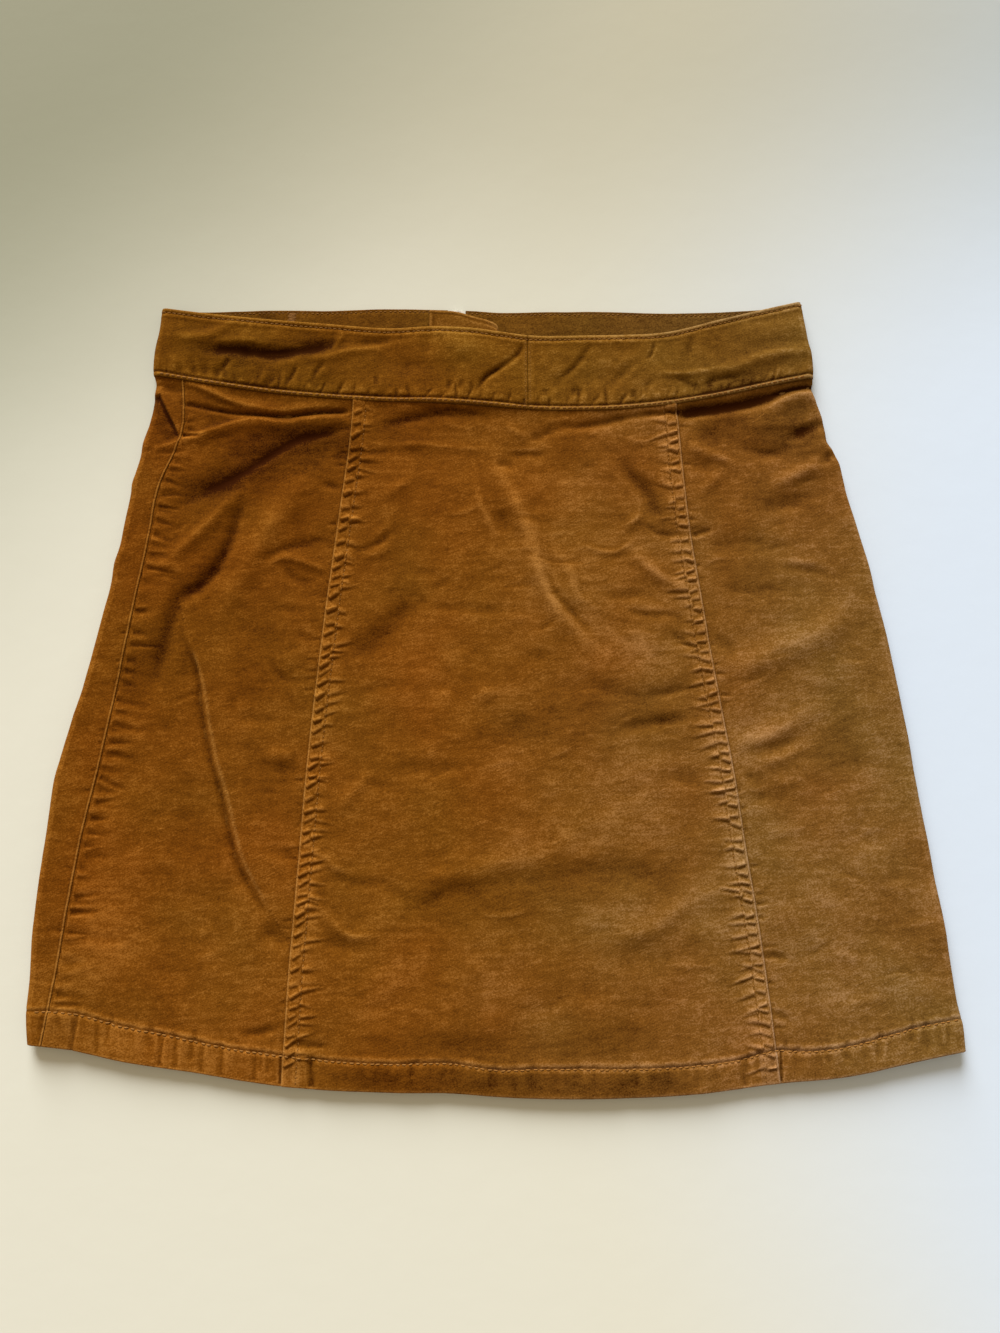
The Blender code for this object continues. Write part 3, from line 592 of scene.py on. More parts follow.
# %% The creases of the waistband
BAND_CREASES = laid(
    (((-171.4, 182.1), (-159.8, 181.5), (-151.4, 183.2), (-144.1, 187.1), (-138.4, 189.9)), 3.12, 3.12,
        0.91),
    (((-154.2, 174.2), (-139.9, 174.8), (-126.1, 173.1)), 3.12, 2.86, -1.43, 0.4, 0.3),
    (((-130.4, 173.7), (-116.6, 172.5), (-104, 174.2)), 2.6, 3.38, -1.69),
    (((-111.9, 173.7), (-94.5, 175.3), (-80.3, 179.3)), 3.4, 2.4, -0.9, 0.4, 0.5),
    (((-153.8, 178.7), (-135.9, 179.3), (-120, 178.1)), 3.12, 2.08, 0.65),
    (((-108.3, 178.1), (-80.3, 179.3)), 6, 6, -0.45, 0.5, 0.5),
    (((-87.1, 174.2), (-80.4, 184.9)), 2, 2, 0.6, 0.5, 0.5),
    (((-76, 177.6), (-55.5, 179.8)), 3.38, 3.38, -0.91),
    (((-103.3, 169.8), (-88, 170.9), (-79.1, 173.7), (-64.9, 175.9), (-52.3, 178.1)), 1.82, 2.6, 0.63),
    (((-141.3, 170.3), (-143.8, 165.9), (-146.3, 162)), 1.82, 1.82, -0.72),
    (((-105.9, 165.9), (-107.8, 160.9), (-110.8, 155.9)), 1.3, 1.3, -0.63),
    (((-91.1, 167.5), (-95.2, 163.1), (-97.2, 158.1)), 1.56, 1.56, -0.72),
    (((-63.6, 160.9), (-63.5, 154.8)), 1.56, 1.56, -0.54),
    (((-35.9, 185.4), (-37.9, 168.6)), 3.4, 3.4, -0.7, 0.5, 0.5),
    (((2.8, 165.3), (-4.6, 160.3), (-10.9, 152)), 1.6, 1.4, -0.85, 0.3, 0.4),
    (((-24.6, 158.1), (-25.6, 151.5)), 1.69, 1.69, -0.45),
    (((-18.3, 158.6), (-19.3, 151.5)), 1.69, 1.69, -0.45),
    (((-13, 157.5), (-13.5, 151.5)), 1.56, 1.56, -0.36),
    (((-144.5, 196.7), (-127, 199), (-104.6, 197.8)), 3.38, 3.9, 0.65),
    (((-169.5, 162), (-153.7, 163.1), (-140.4, 159.8)), 3.38, 3.38, -0.52),
    (((13.9, 177), (9.6, 170.9), (4.9, 167), (-1.5, 162.5), (-8.3, 157)), 1.7, 1.5, -0.75, 0.25, 0.6),
    (((50.4, 178.7), (44.4, 169.8), (39.6, 164.2), (31.2, 157)), 2, 1.8, -0.7, 0.5, 0.4),
    (((76.7, 170.9), (68.1, 163.1), (57.4, 153.1)), 2.4, 2.4, -0.55, 0.5, 0.5),
    (((83.2, 178.7), (81.4, 172), (79.3, 169.2)), 1.17, 1.17, -0.54),
    (((82.7, 158.1), (79, 154.2), (79.3, 147.1)), 1.69, 1.69, -0.54),
    (((72.6, 152.6), (70.9, 147.1)), 1.69, 1.69, -0.45),
    (((25.3, 153.7), (25.8, 148.7)), 2.6, 2.6, -0.52),
    (((37.9, 152), (45.8, 151.5)), 2.86, 2.86, -0.65),
    (((84.9, 161.4), (99.7, 161.4), (115, 163.1)), 1.82, 1.82, 0.63),
    (((104.4, 183.2), (99.3, 167.5)), 2.6, 2.6, -0.6, 0.5, 0.5),
    (((94.3, 159.2), (107.8, 153.1)), 2, 2.2, -0.6, 0.5, 0.5),
    (((107.3, 154.2), (114.8, 158.1), (128.6, 160.3)), 1.69, 2.21, -0.81),
    (((109.1, 161.4), (128.8, 165.9), (138.4, 169.8), (147.5, 172), (164.9, 173.7)), 3.4, 4, 1.2, 0.4, 0.2),
    (((126.2, 184.3), (150.1, 186), (167.1, 187.7)), 6, 6, 0.9, 0.4, 0.1),
    (((33.5, 183.2), (59.9, 180.9), (83.8, 184.3)), 4, 5, 0.8, 0.5, 0.5),
    (((-30, 174.2), (-18.4, 176.5), (-4.6, 174.2)), 7, 7, 0.9, 0.5, 0.5),
    (((-61.6, 167.5), (-40.5, 165.3), (-19.4, 166.4)), 5, 5, -0.7, 0.5, 0.5),
    (((22.7, 155.3), (49.1, 158.6), (75.3, 155.3)), 5, 5, -0.6, 0.5, 0.5),
)
print(len(BAND_CREASES), "creases laid by hand on the band")

# %% [markdown]
# ## Puckers
#
# Thread pulls the cloth a little shorter along every seam, and washing makes it worse. The cloth then
# stands up in small waves across the seam. They are far too many to place by hand, so each seam gets
# its own row of short creases, with seeded random sizes, so that each run makes the same ones.

# %% Puckers along the princess seams
STITCH_LINE = 7.0  # the topstitch lies this far from the strip's folded edge
# gap and lean are ranges, in mm and degrees, and tall is the height of one ridge
SlitRow = namedtuple("SlitRow", "seam side gap lean tall seed")
SLIT_ROWS = (
    SlitRow(left_princess, 1, (3.9, 7.0), (8, 40), 1.1, 11),
    SlitRow(right_princess, -1, (3.7, 6.6), (-22, 24), 0.95, 12),
)


def ridge_and_slit(side, start, end, gap, height, slit, fade_out):
    """A small wave, long on its upper side, with a thin slit close under it."""
    (x0, y0), (x1, y1) = start, end
    upper, lower = 0.27 * gap, 0.12 * gap
    drop = 0.2 * gap
    ridge_sides = (upper, lower) if side > 0 else (lower, upper)
    slit_sides = (0.6, 1.0) if side > 0 else (1.0, 0.6)
    return [
        Crease(((x0, y0 + drop), (x1, y1 + drop)), *ridge_sides, height, 0.12, fade_out),
        Crease(((x0, y0), (x1, y1)), *slit_sides, -slit * height, 0.1, fade_out),
    ]


def princess_puckers(row):
    """Slanting waves across the doubled strip, and others beyond its stitches, half a wave further on."""
    chance = np.random.default_rng(row.seed)
    made = []
    y = -189.0
    while y < 141:
        gap = chance.uniform(*row.gap) * (1.0 if y < 60 else 1.15)
        x = float(row.seam(y))
        strong = chance.uniform(0.4, 1.1)
        rise = np.tan(np.radians(chance.uniform(*row.lean)))
        near, inner = chance.uniform(0.9, 1.8), STITCH_LINE * chance.uniform(0.78, 1.0)
        start = x + row.side * near, y
        end = x + row.side * inner, y + rise * (inner - near)
        made += ridge_and_slit(row.side, start, end, gap, row.tall * strong, 0.42, 0.4)
        if chance.random() < 0.95:
            long = chance.uniform(4.5, 8) + (4 if chance.random() < 0.25 else 0)
            shift = chance.uniform(-0.4, 0.4) * gap
            begin = x + row.side * (STITCH_LINE - chance.uniform(0.4, 1.4)), end[1] + shift
            slope = np.tan(np.radians(chance.uniform(-22, 18)))
            stop = begin[0] + row.side * long, begin[1] + slope * long
            height = 0.8 * row.tall * chance.uniform(0.4, 1.1)
            made += ridge_and_slit(row.side, begin, stop, 1.3 * gap, height, 0.3, 0.7)
        if chance.random() < 0.4:
            long = chance.uniform(2, 7)
            sag = ((x - row.side * 0.6, y - 0.5), (x - row.side * long, y + chance.uniform(-1.2, 0.8)))
            made.append(Crease(sag, 1.1, 0.9, -0.4 * strong, 0.1, 0.7))
        y += gap
    return made


PRINCESS_PUCKERS = [pucker for row in SLIT_ROWS for pucker in princess_puckers(row)]
print(len(PRINCESS_PUCKERS), "waves and slits beside the princess seams")


# %% Puckers along the side seam
def side_seam_puckers(seed):
    """Short dents that start beside the left side seam and lean away from it, and puffs between them."""
    chance = np.random.default_rng(seed)
    made = []
    y = -160.0
    while y < 132:
        x = float(left_seam(y))
        strong = chance.uniform(0.2, 1.1)
        long = chance.uniform(5, 16)
        drop = chance.uniform(-0.3, 0.12) * long
        wide = chance.uniform(1.0, 2.2)
        dent = ((x + 1.8, y), (x + 1.8 + long, y + drop))
        made.append(Crease(dent, wide, 0.8 * wide, -0.5 * strong, 0.15, 0.6))
        gap = chance.uniform(4.5, 11)
        puff = ((x + 1.4, y + gap / 2), (x + 1.4 + 0.7 * long, y + gap / 2 + drop))
        made.append(Crease(puff, 0.3 * gap, 0.2 * gap, 0.42, 0.1, 0.7))
        if chance.random() < 0.4:
            out = ((x - 1.4, y), (x - chance.uniform(2.5, 5), y + chance.uniform(-1, 1)))
            made.append(Crease(out, 1.1, 0.9, -0.4 * strong, 0.1, 0.7))
        y += gap
    return made


STRONG_SIDE_DENTS = laid(
    (((-175.5, 89.5), (-164, 87.9)), 1, 1, -0.56, 0.2, 0.4),
    (((-177.3, 74.1), (-166.8, 70.4)), 1.5, 1.4, -0.56, 0.2, 0.5),
    (((-185.1, 34.2), (-177.4, 33.6)), 1.5, 1.4, -0.56, 0.2, 0.5),
    (((-191.9, -11), (-184.7, -13), (-176.6, -14.5)), 1.9, 1.6, -0.53, 0.1, 0.5),
    (((-192.8, -22.6), (-186.1, -25.6), (-174.5, -27.1)), 1.9, 1.7, -0.6, 0.1, 0.5),
    (((-195, -36.7), (-178.1, -44.1)), 2, 1.7, -0.43, 0.2, 0.6),
    (((-197.8, -50.1), (-191.6, -53.6), (-184.5, -56)), 1.8, 1.4, -0.73, 0.05, 0.4),
    (((-199.1, -62.5), (-188.2, -61.5)), 1.5, 1.3, -0.56, 0.1, 0.5),
    (((-200.6, -71.3), (-190.7, -70.3)), 1.5, 1.3, -0.43, 0.1, 0.5),
    (((-204, -89.3), (-186.7, -89.8)), 2.5, 2.3, -0.43, 0.2, 0.6),
    (((-207.2, -109.1), (-194.6, -106.7)), 1.6, 1.4, -0.62, 0.1, 0.5),
    (((-208.8, -115.8), (-194.6, -115.3)), 1.9, 1.7, -0.6, 0.05, 0.3),
    (((-210.1, -127.2), (-190.9, -129.1)), 1.9, 1.7, -0.37, 0.2, 0.6),
    (((-214.2, -156), (-195.8, -155.5)), 2, 1.7, -0.43, 0.2, 0.6),
    (((-202, -165), (-204, -180)), 0.9, 1.4, -1.1, 0, 0),
)
SIDE_PUCKERS = side_seam_puckers(13) + STRONG_SIDE_DENTS
print(len(SIDE_PUCKERS), "dents and puffs beside the side seam")

# %% Puckers along the hem
# (x, half width, depth) of the strongest waves in the turned hem
HEM_BANDS = (
    (-192.2, 1.4, 0.5), (-161.2, 1.3, 1), (-154.1, 1.5, 0.8), (-141.6, 1.6, 0.7), (-131.9, 1.8, 0.8),
    (-115.9, 1.5, 0.6), (-103.6, 0.8, 0.9), (-88.6, 1.5, 1.4), (119, 1.4, 1.2), (136.6, 0.8, 0.9),
)


def hem_puckers(seed):
    """Upright waves in the turned hem, and short dents just above its stitches."""
    chance = np.random.default_rng(seed)
    made = []
    for x, wide, height in HEM_BANDS:
        low, deep = float(hem_front(x)), float(hem_depth(x))
        path = ((x, low + deep - 0.3), (x + chance.uniform(-0.8, 0.4), low + 0.5))
        made.append(Crease(path, 0.8 * wide, wide, -height, 0, 0.1))
    x = -218.0
    while x < 222:
        low, deep = float(hem_front(x)), float(hem_depth(x))
        strong = chance.uniform(0.3, 1.0) ** 1.8
        lean = chance.uniform(-1.5, 1.5)
        top = low + deep - 0.4
        foot = low + chance.uniform(0.5, 9)
        wide = chance.uniform(1.2, 3.0)
        made.append(Crease(((x, top), (x + lean, foot)), wide, 0.7 * wide, -0.75 * strong, 0, 0.4))
        gap = chance.uniform(3.5, 12)
        swell = ((x + gap / 2, top - 1), (x + gap / 2 + lean, foot))
        made.append(Crease(swell, 0.28 * gap, 0.24 * gap, 0.25, 0, 0.5))
        above_it = top + chance.uniform(3, 7)
        made.append(Crease(((x + 1.6, top + 1.4), (x + 1.0, above_it)), 1.5, 1.1, -0.6 * strong, 0, 0.7))
        x += gap
    return made


SEAM_PUCKERS = PRINCESS_PUCKERS + SIDE_PUCKERS + hem_puckers(14)
print(len(SEAM_PUCKERS), "puckers on the panels")


# %% Puckers along the band
def band_puckers(seed):
    """Upright waves above the band's lower stitches, strongest in the middle, and small ones at its top."""
    chance = np.random.default_rng(seed)
    made = []
    x = -174.0
    while x < 160:
        low, top = float(waist_front(x)), float(top_front(x))
        strong = (0.9 if -95 < x < 70 else 0.3) * chance.uniform(0.15, 1.1)
        high = low + chance.uniform(5, 13)
        lean = chance.uniform(-1.5, 4.0)
        wide = chance.uniform(0.7, 1.5)
        made.append(Crease(((x, low + 3.0), (x + lean, high)), wide, 0.8 * wide, -1.0 * strong, 0, 0.6))
        gap = chance.uniform(3.6, 9.0)
        swell = ((x + gap / 2, low + 3.2), (x + gap / 2 + lean, high - 1))
        made.append(Crease(swell, 0.28 * gap, 0.22 * gap, 0.4, 0, 0.6))
        dip = top - chance.uniform(3.5, 8)
        at_rim = ((x + 2, top - 2), (x + 2 + 0.5 * lean, dip))
        made.append(Crease(at_rim, 1.0, 0.9, -0.35 * strong, 0, 0.6))
        x += gap
    return made


BAND_PUCKERS = band_puckers(15)
print(len(BAND_PUCKERS), "puckers on the band")

# %% [markdown]
# ## Uneven cloth
#
# Between its creases cloth is never flat. A grid of seeded random heights with a smooth blend between
# them gives that slow unevenness, and it can be read at any point, as the creases can.

# %% Soft unevenness
LATTICE = 64


def uneven(x, y, size, seed):
    """Soft random heights between -1 and 1, in bumps about as wide as size."""
    heights = np.random.default_rng(seed).uniform(-1, 1, (LATTICE, LATTICE))
    u, v = x / size + LATTICE / 2, y / size + LATTICE / 2
    i, j = np.floor(u).astype(int), np.floor(v).astype(int)
    s, t = u - i, v - j
    s, t = s * s * (3 - 2 * s), t * t * (3 - 2 * t)
    i, j = i % LATTICE, j % LATTICE
    i1, j1 = (i + 1) % LATTICE, (j + 1) % LATTICE
    lower = heights[i, j] * (1 - s) + heights[i1, j] * s
    upper = heights[i, j1] * (1 - s) + heights[i1, j1] * s
    return lower * (1 - t) + upper * t


# height, width and seed of each size of unevenness
PANEL_SWELLS = ((0.45, 24, 1), (0.28, 9, 2), (0.08, 3.6, 3))
BAND_SWELLS = ((0.5, 17, 4), (0.26, 6, 5), (0.08, 3, 9))
print("unevenness at the origin:", round(float(uneven(np.zeros(1), np.zeros(1), 24, 1)[0]), 2))

# %% [markdown]
# ## The height of the front
#
# The front is one surface over the table: a plain height, lifted at the side folds and the waist, plus
# the creases. It never sinks below the back that it lies on. Seams are built into it as a tailor makes
# them: the strip beside a princess seam is doubled cloth with a rounded edge, and its stitches pull a
# narrow groove. One function gives the height anywhere, so pieces, threads and puckers always agree.

# %% Thicknesses and heights
PANEL = 1.2  # wall of a panel
BAND = 1.9  # wall of the doubled waistband
SEAM = 0.08  # gap between two pieces at a seam
HALF_SEAM = SEAM / 2
FRONT_HEIGHT = 4.9
WAIST_HEIGHT = 5.3
WAIST_FADE = 18.0
FOLD_HEIGHT = 6.2
FOLD_FADE = 24.0
BAND_HEIGHT = 6.1
BAND_FOLD_HEIGHT = 6.8
ROLL = 3.6  # half width of the round at a side fold
SOFTNESS = 0.5  # how gently a trough meets the layer below
CREASE_STRENGTH = 1.15  # one number to make all listed creases bolder or fainter
CHAIN_WIDTH, CHAIN_LOW, CHAIN_HIGH, ZIP_BOTTOM = 9.0, 1.5, 2.7, 31.0
TAB_LEFT, TAB_RIGHT, TAB_LUMP = -36.0, 1.0, 1.1


def above(height, floor):
    """The larger of the two heights, with the corner between them rounded."""
    return 0.5 * (height + floor + np.hypot(height - floor, SOFTNESS))


def fold_distance(x, y):
    """How far x lies inside the nearer side fold."""
    return np.maximum(np.minimum(x - left_fold(y), right_fold(y) - x) - ROLL, 0)


def zip_lift(x, y):
    """How much the zip inside lifts the lowest place that the front may reach."""
    beside = np.maximum(np.abs(x - centre_back(y)) - CHAIN_WIDTH / 2, 0)
    past_end = np.maximum(ZIP_BOTTOM - y, 0)
    return (CHAIN_HIGH - PANEL + SEAM) * hump(beside + past_end, 6)


print("the zip lifts the front by up to", round(float(zip_lift(centre_back(100), 100)), 2), "mm")

# %% Edges, strips and stitch grooves
def rounded_edge(distance, radius, drop):
    """The drop of a rounded edge: drop at the edge itself, and 0 from radius inward."""
    inside = np.clip(distance / radius, 0, 1)
    return -drop * (1 - np.sqrt(np.clip(1 - (1 - inside) ** 2, 0, 1)))


def stitch_groove(distance, deep=0.32, width=0.5):
    """The narrow groove that a row of stitches pulls into the cloth."""
    return -deep * hump(distance, width)


STRIP_RISE = 0.8


def strip_relief(inward):
    """A doubled strip beside a seam. inward is the distance from its folded edge, negative outside."""
    raised = STRIP_RISE * (1 - soft_step(inward, 1.5, STITCH_LINE + 2.0))
    on_strip = raised + rounded_edge(inward, 0.9, 0.5) + stitch_groove(inward - STITCH_LINE, 0.16, 0.7)
    outside = -0.55 * np.exp(np.minimum(inward, 0) / 0.8)
    return np.where(inward >= 0, on_strip, outside)


HEM_RISE = 0.8
CORNER, CORNER_END = 14.5, 16  # where the doubled corner beside the left side seam starts and ends to sink


def hem_relief(x, y):
    """The turned hem: doubled cloth with a rounded edge, its stitch groove, and a swelling above it."""
    up, deep = y - hem_front(x), hem_depth(x)
    raised = HEM_RISE * (1 - soft_step(up, deep - 0.5, deep + 0.9))
    swelling = 0.4 * hump(up - deep - 2.0, 1.5)
    return raised, rounded_edge(up, 1.1, 0.6) + stitch_groove(up - deep, 0.3, 0.8) + swelling


print("a groove under stitches is", -stitch_groove(0.0), "mm deep")


# %% The panels' surface
def panel_surface(x, y, fine=True):
    """Height of the front panels' outer face. Without fine, only the large forms."""
    near_fold = np.exp(-fold_distance(x, y) / FOLD_FADE)
    near_waist = hump(waist_front(x) - y, WAIST_FADE)
    height = FRONT_HEIGHT + (FOLD_HEIGHT - FRONT_HEIGHT) * near_fold
    height = height + (WAIST_HEIGHT - height) * near_waist
    at_seam = hump(waist_front(x) - y, 2.4)
    waves = CREASE_STRENGTH * relief(PANEL_CREASES, x, y)
    if fine:
        waves = waves + relief(SEAM_PUCKERS, x, y) + relief(LOOSE_WRINKLES, x, y)
        for swell, size, seed in PANEL_SWELLS:
            waves = waves + swell * uneven(x, y, size, seed)
    height = above(height + waves * (1 - 0.7 * at_seam), 2 * PANEL + SEAM + zip_lift(x, y))
    if not fine:
        return height
    strips = strip_relief(x - left_princess(y))
    strips = np.where(x < left_princess(y) + 40, strips, strip_relief(right_princess(y) - x))
    raised, detail = hem_relief(x, y)
    crossing = np.maximum(raised, strips) + 0.4 * np.clip(np.minimum(raised, strips), 0, None)
    below_band = waist_front(x) - y
    waist_gap = 0.5 * np.exp(-below_band / 2.5) - 0.4 * np.exp(-below_band / 0.8)
    past_seam = x - left_seam(y)
    side_lip = 0.38 * hump(past_seam + 0.55, 0.5) * (past_seam < 0)
    side_gap = side_lip - 0.3 * np.exp(-np.abs(past_seam) / 1.1) * (past_seam >= 0)
    corner = 0.35 * soft_step(x, left_seam(y), left_seam(y) + 0.6) * (raised / HEM_RISE)
    corner = corner * (1 - soft_step(x, left_seam(y) + CORNER, left_seam(y) + CORNER_END))
    return height + crossing + detail + waist_gap + side_gap + corner


centre_height = panel_surface(np.array([20.0]), np.array([0.0]))[0]
print("front height at the centre:", round(float(centre_height), 2), "mm")

# %% The band's surface
PIPING = 2.1  # height of the rolled ridge along the band's foot
BAND_STITCH = 1.05  # the band's lower stitches lie this far above its foot, on the ridge
TOP_STITCH = 2.5  # and its upper ones this far below its top


def band_surface(x, y, fine=True):
    """Height of the outer face of the waistband's front."""
    near_fold = np.exp(-fold_distance(x, y) / FOLD_FADE)
    tab_middle, tab_half = (TAB_LEFT + TAB_RIGHT) / 2, (TAB_RIGHT - TAB_LEFT) / 2
    over_tab = np.exp(-(((x - tab_middle) / (tab_half + 10)) ** 6))
    height = BAND_HEIGHT + (BAND_FOLD_HEIGHT - BAND_HEIGHT) * near_fold + TAB_LUMP * over_tab
    up, down = y - waist_front(x) - SEAM, top_front(x) - y
    free = (1 - hump(up, 3.0)) * (1 - hump(down, 2.6))
    waves = 1.3 * CREASE_STRENGTH * relief(BAND_CREASES, x, y)
    if fine:
        waves = waves + relief(BAND_PUCKERS, x, y)
        for swell, size, seed in BAND_SWELLS:
            waves = waves + swell * uneven(x, y, size, seed)
    height = above(height + waves * free, 2 * BAND + 2 * SEAM)
    if not fine:
        return height
    piping = 0.5 * np.sqrt(np.clip(1 - ((up - PIPING / 2) / (PIPING / 2)) ** 2, 0, 1)) - 0.25
    piping = np.where(up < PIPING, piping, -0.25 * np.exp(-(up - PIPING) / 1.6))
    rim = 0.25 * (1 - soft_step(down, TOP_STITCH - 0.6, TOP_STITCH))
    rim = rim + rounded_edge(down, 1.0, 0.8) + stitch_groove(down - TOP_STITCH, 0.32, 0.6)
    rim = rim + 0.22 * hump(down - TOP_STITCH - 1.7, 0.9)
    from_seam = np.abs(x - BAND_FRONT_SEAM)
    join = rounded_edge(from_seam, 0.9, 0.5) + 0.12 * hump(from_seam - 2.2, 1.2)
    above_ridge = stitch_groove(up - PIPING - 0.7, 0.3, 0.7)
    return height + piping + above_ridge + rim + join


band_height = band_surface(np.array([60.0]), np.array([165.0]))[0]
print("height of the band beside its middle:", round(float(band_height), 2), "mm")

# %% [markdown]
# ## Laying out a piece
#
# A piece of cloth is a grid. Its columns run between two seams and its rows between hem and waist, so
# the mesh follows the cut, and its edges meet the next piece along the whole seam. Rows and columns lie
# close together where stitches and edges need them. At a side fold the columns go round a half ellipse
# and on along the table. Sculpting or a remesh would lose the clean seam lines.

# %% Rows and columns
CLOSER = 0.22  # how quickly the spacing grows away from a fine place


def marks(length, widest, *fine):
    """Places from 0 to length, close together round each fine place (where, spacing there)."""
    places = [0.0]
    while places[-1] < length:
        here = places[-1]
        places.append(here + min([widest] + [close + CLOSER * abs(here - at) for at, close in fine]))
    return np.array(places) * length / places[-1]


LENGTH, HEM_DEPTH, BAND_DEPTH = 345.0, 14.5, 41.0
PANEL_ROWS = marks(LENGTH, 0.62, (0, 0.25), (HEM_DEPTH, 0.3), (LENGTH, 0.35))[:, None]
PLAIN_ROWS = marks(LENGTH, 8.0, (0, 1.0))[:, None]
BAND_FINE = (0, 0.2), (BAND_STITCH, 0.3), (BAND_DEPTH - TOP_STITCH, 0.3), (BAND_DEPTH, 0.2)
BAND_ROWS = marks(BAND_DEPTH, 0.8, *BAND_FINE)[:, None]
print(len(PANEL_ROWS), "rows on a panel and", len(BAND_ROWS), "on the band")


def panel_place(rows):
    """A function that gives y for the rows of a panel at x. under is 0 on the front and 1 underneath."""

    def place(x, under):
        low = hem_front(x) + under * (hem_back(x) - hem_front(x))
        high = waist_front(x) + under * (waist_back(x) - waist_front(x))
        deep = hem_depth(x)
        in_hem = rows * deep / HEM_DEPTH
        past_hem = deep + (rows - HEM_DEPTH) * (high - low - deep) / (LENGTH - HEM_DEPTH)
        return low + np.where(rows <= HEM_DEPTH, in_hem, past_hem)

    return place


def band_place(x, under):
    low = waist_front(x) + under * (waist_back(x) - waist_front(x)) + SEAM
    high = top_front(x) + under * (top_back(x) - top_front(x))
    return low + BAND_ROWS / BAND_DEPTH * (high - low)


# %% Strips of columns
# line gives x for each column at height y, top_line where the front's height is read, and turn the
# direction that each column faces: 90 degrees is up, -90 is down.
Strip = namedtuple("Strip", "line top_line turn")


def flat_strip(line_from, line_to, near_from, near_to, count, turn=90):
    """Columns between two lines: near_from and near_to give those at fixed distances from each."""
    t = np.linspace(0, 1, count + 2)[1:-1]
    a, b = near_from[-1], near_to[-1]
    share = np.concatenate((np.zeros(len(near_from)), t, np.ones(len(near_to))))
    shift = np.concatenate((near_from, a * (1 - t) + b * t, near_to[::-1]))

    def line(y):
        return line_from(y) + share * (line_to(y) - line_from(y)) + shift

    return Strip(line, line, np.full(len(share), float(turn)))


def roll_strip(fold, side, count=22):
    """Columns round a side fold, from the front to the underside. side is 1 at +X and -1 at -X."""
    turn = np.linspace(80, -80, count)

    def line(y):
        return fold(y) - side * ROLL * (1 - np.cos(np.radians(turn)))

    def top_line(y):
        return fold(y) - side * ROLL + 0 * turn

    return Strip(line, top_line, turn)


def lay_out(place, strips):
    """x, y, the x at which the front's height is read, and the share of that height, for a grid."""
    parts = []
    for strip in strips:
        lift = (1 + np.sin(np.radians(strip.turn))) / 2
        y = place(np.zeros((1, len(lift))), 1 - lift)
        for _ in range(10):
            x = strip.line(y)
            y = place(x, 1 - lift)
        parts.append((x, y, strip.top_line(y), np.broadcast_to(lift, x.shape)))
    return [np.concatenate(part, axis=1) for part in zip(*parts)]


print("columns round a side fold:", len(roll_strip(left_fold, -1).turn))

# %% [markdown]
# ## From a grid to a closed piece of cloth
#
# Cloth has two faces and an edge. The outer face carries all the detail. The inner one is hidden, so it
# is coarser, and the two are joined by a rim. A Solidify modifier would make the inner face as fine as
# the outer, and would fold over itself inside the narrow puckers.
#
# Each point also remembers four numbers for its finish: how sharply the cloth bends there, how worn it
# is, its tone, and whether it is on the inner face. Brushed cotton loses its nap on every crest and edge,
# so those are paler. The bending and the tone also carry painted light and shade: crests are painted
# lighter and troughs darker, as the light falls on the folds.

# %% Directions on a grid
def grid_normals(points):
    """Unit normals of a grid of points, upright along its borders so that seams stay even."""
    normals = np.cross(np.gradient(points, axis=1), np.gradient(points, axis=0))
    normals[0, :, 1] = 0
    normals[-1, :, 1] = 0
    for border in (0, -1):
        normals[:, border, :2] = 0
    return normals / np.maximum(np.linalg.norm(normals, axis=2, keepdims=True), 1e-9)


def bending(points):
    """How sharply the grid bends, in 1/mm: positive on crests and negative in troughs."""
    normals = np.cross(np.gradient(points, axis=1), np.gradient(points, axis=0))
    normals /= np.maximum(np.linalg.norm(normals, axis=2, keepdims=True), 1e-9)
    total = np.zeros(points.shape[:2])
    for axis in (0, 1):
        steps = np.diff(points, axis=axis)
        spans = np.maximum(np.linalg.norm(steps, axis=2, keepdims=True), 1e-6)
        turns = np.diff(steps / spans, axis=axis)
        first, second = (spans[:-1], spans[1:]) if axis == 0 else (spans[:, :-1], spans[:, 1:])
        bend = turns / ((first + second) / 2)
        if axis == 0:
            total[1:-1] -= (bend * normals[1:-1]).sum(axis=2)
        else:
            total[:, 1:-1] -= (bend * normals[:, 1:-1]).sum(axis=2)
    return total


def every(count, step):
    """The indices 0, step, 2 step and so on, with the last one always among them."""
    return np.unique(np.append(np.arange(0, count, step), count - 1))


def deepest(dips, rows, columns):
    """The largest dip round each point of a coarser grid."""
    blocks = np.maximum.reduceat(np.maximum.reduceat(dips, rows, axis=0), columns, axis=1)
    wide = np.maximum(blocks, np.pad(blocks, ((1, 0), (0, 0)))[:-1])
    return np.maximum(wide, np.pad(wide, ((0, 0), (1, 0)))[:, :-1])


print("every third of eight:", every(8, 3))


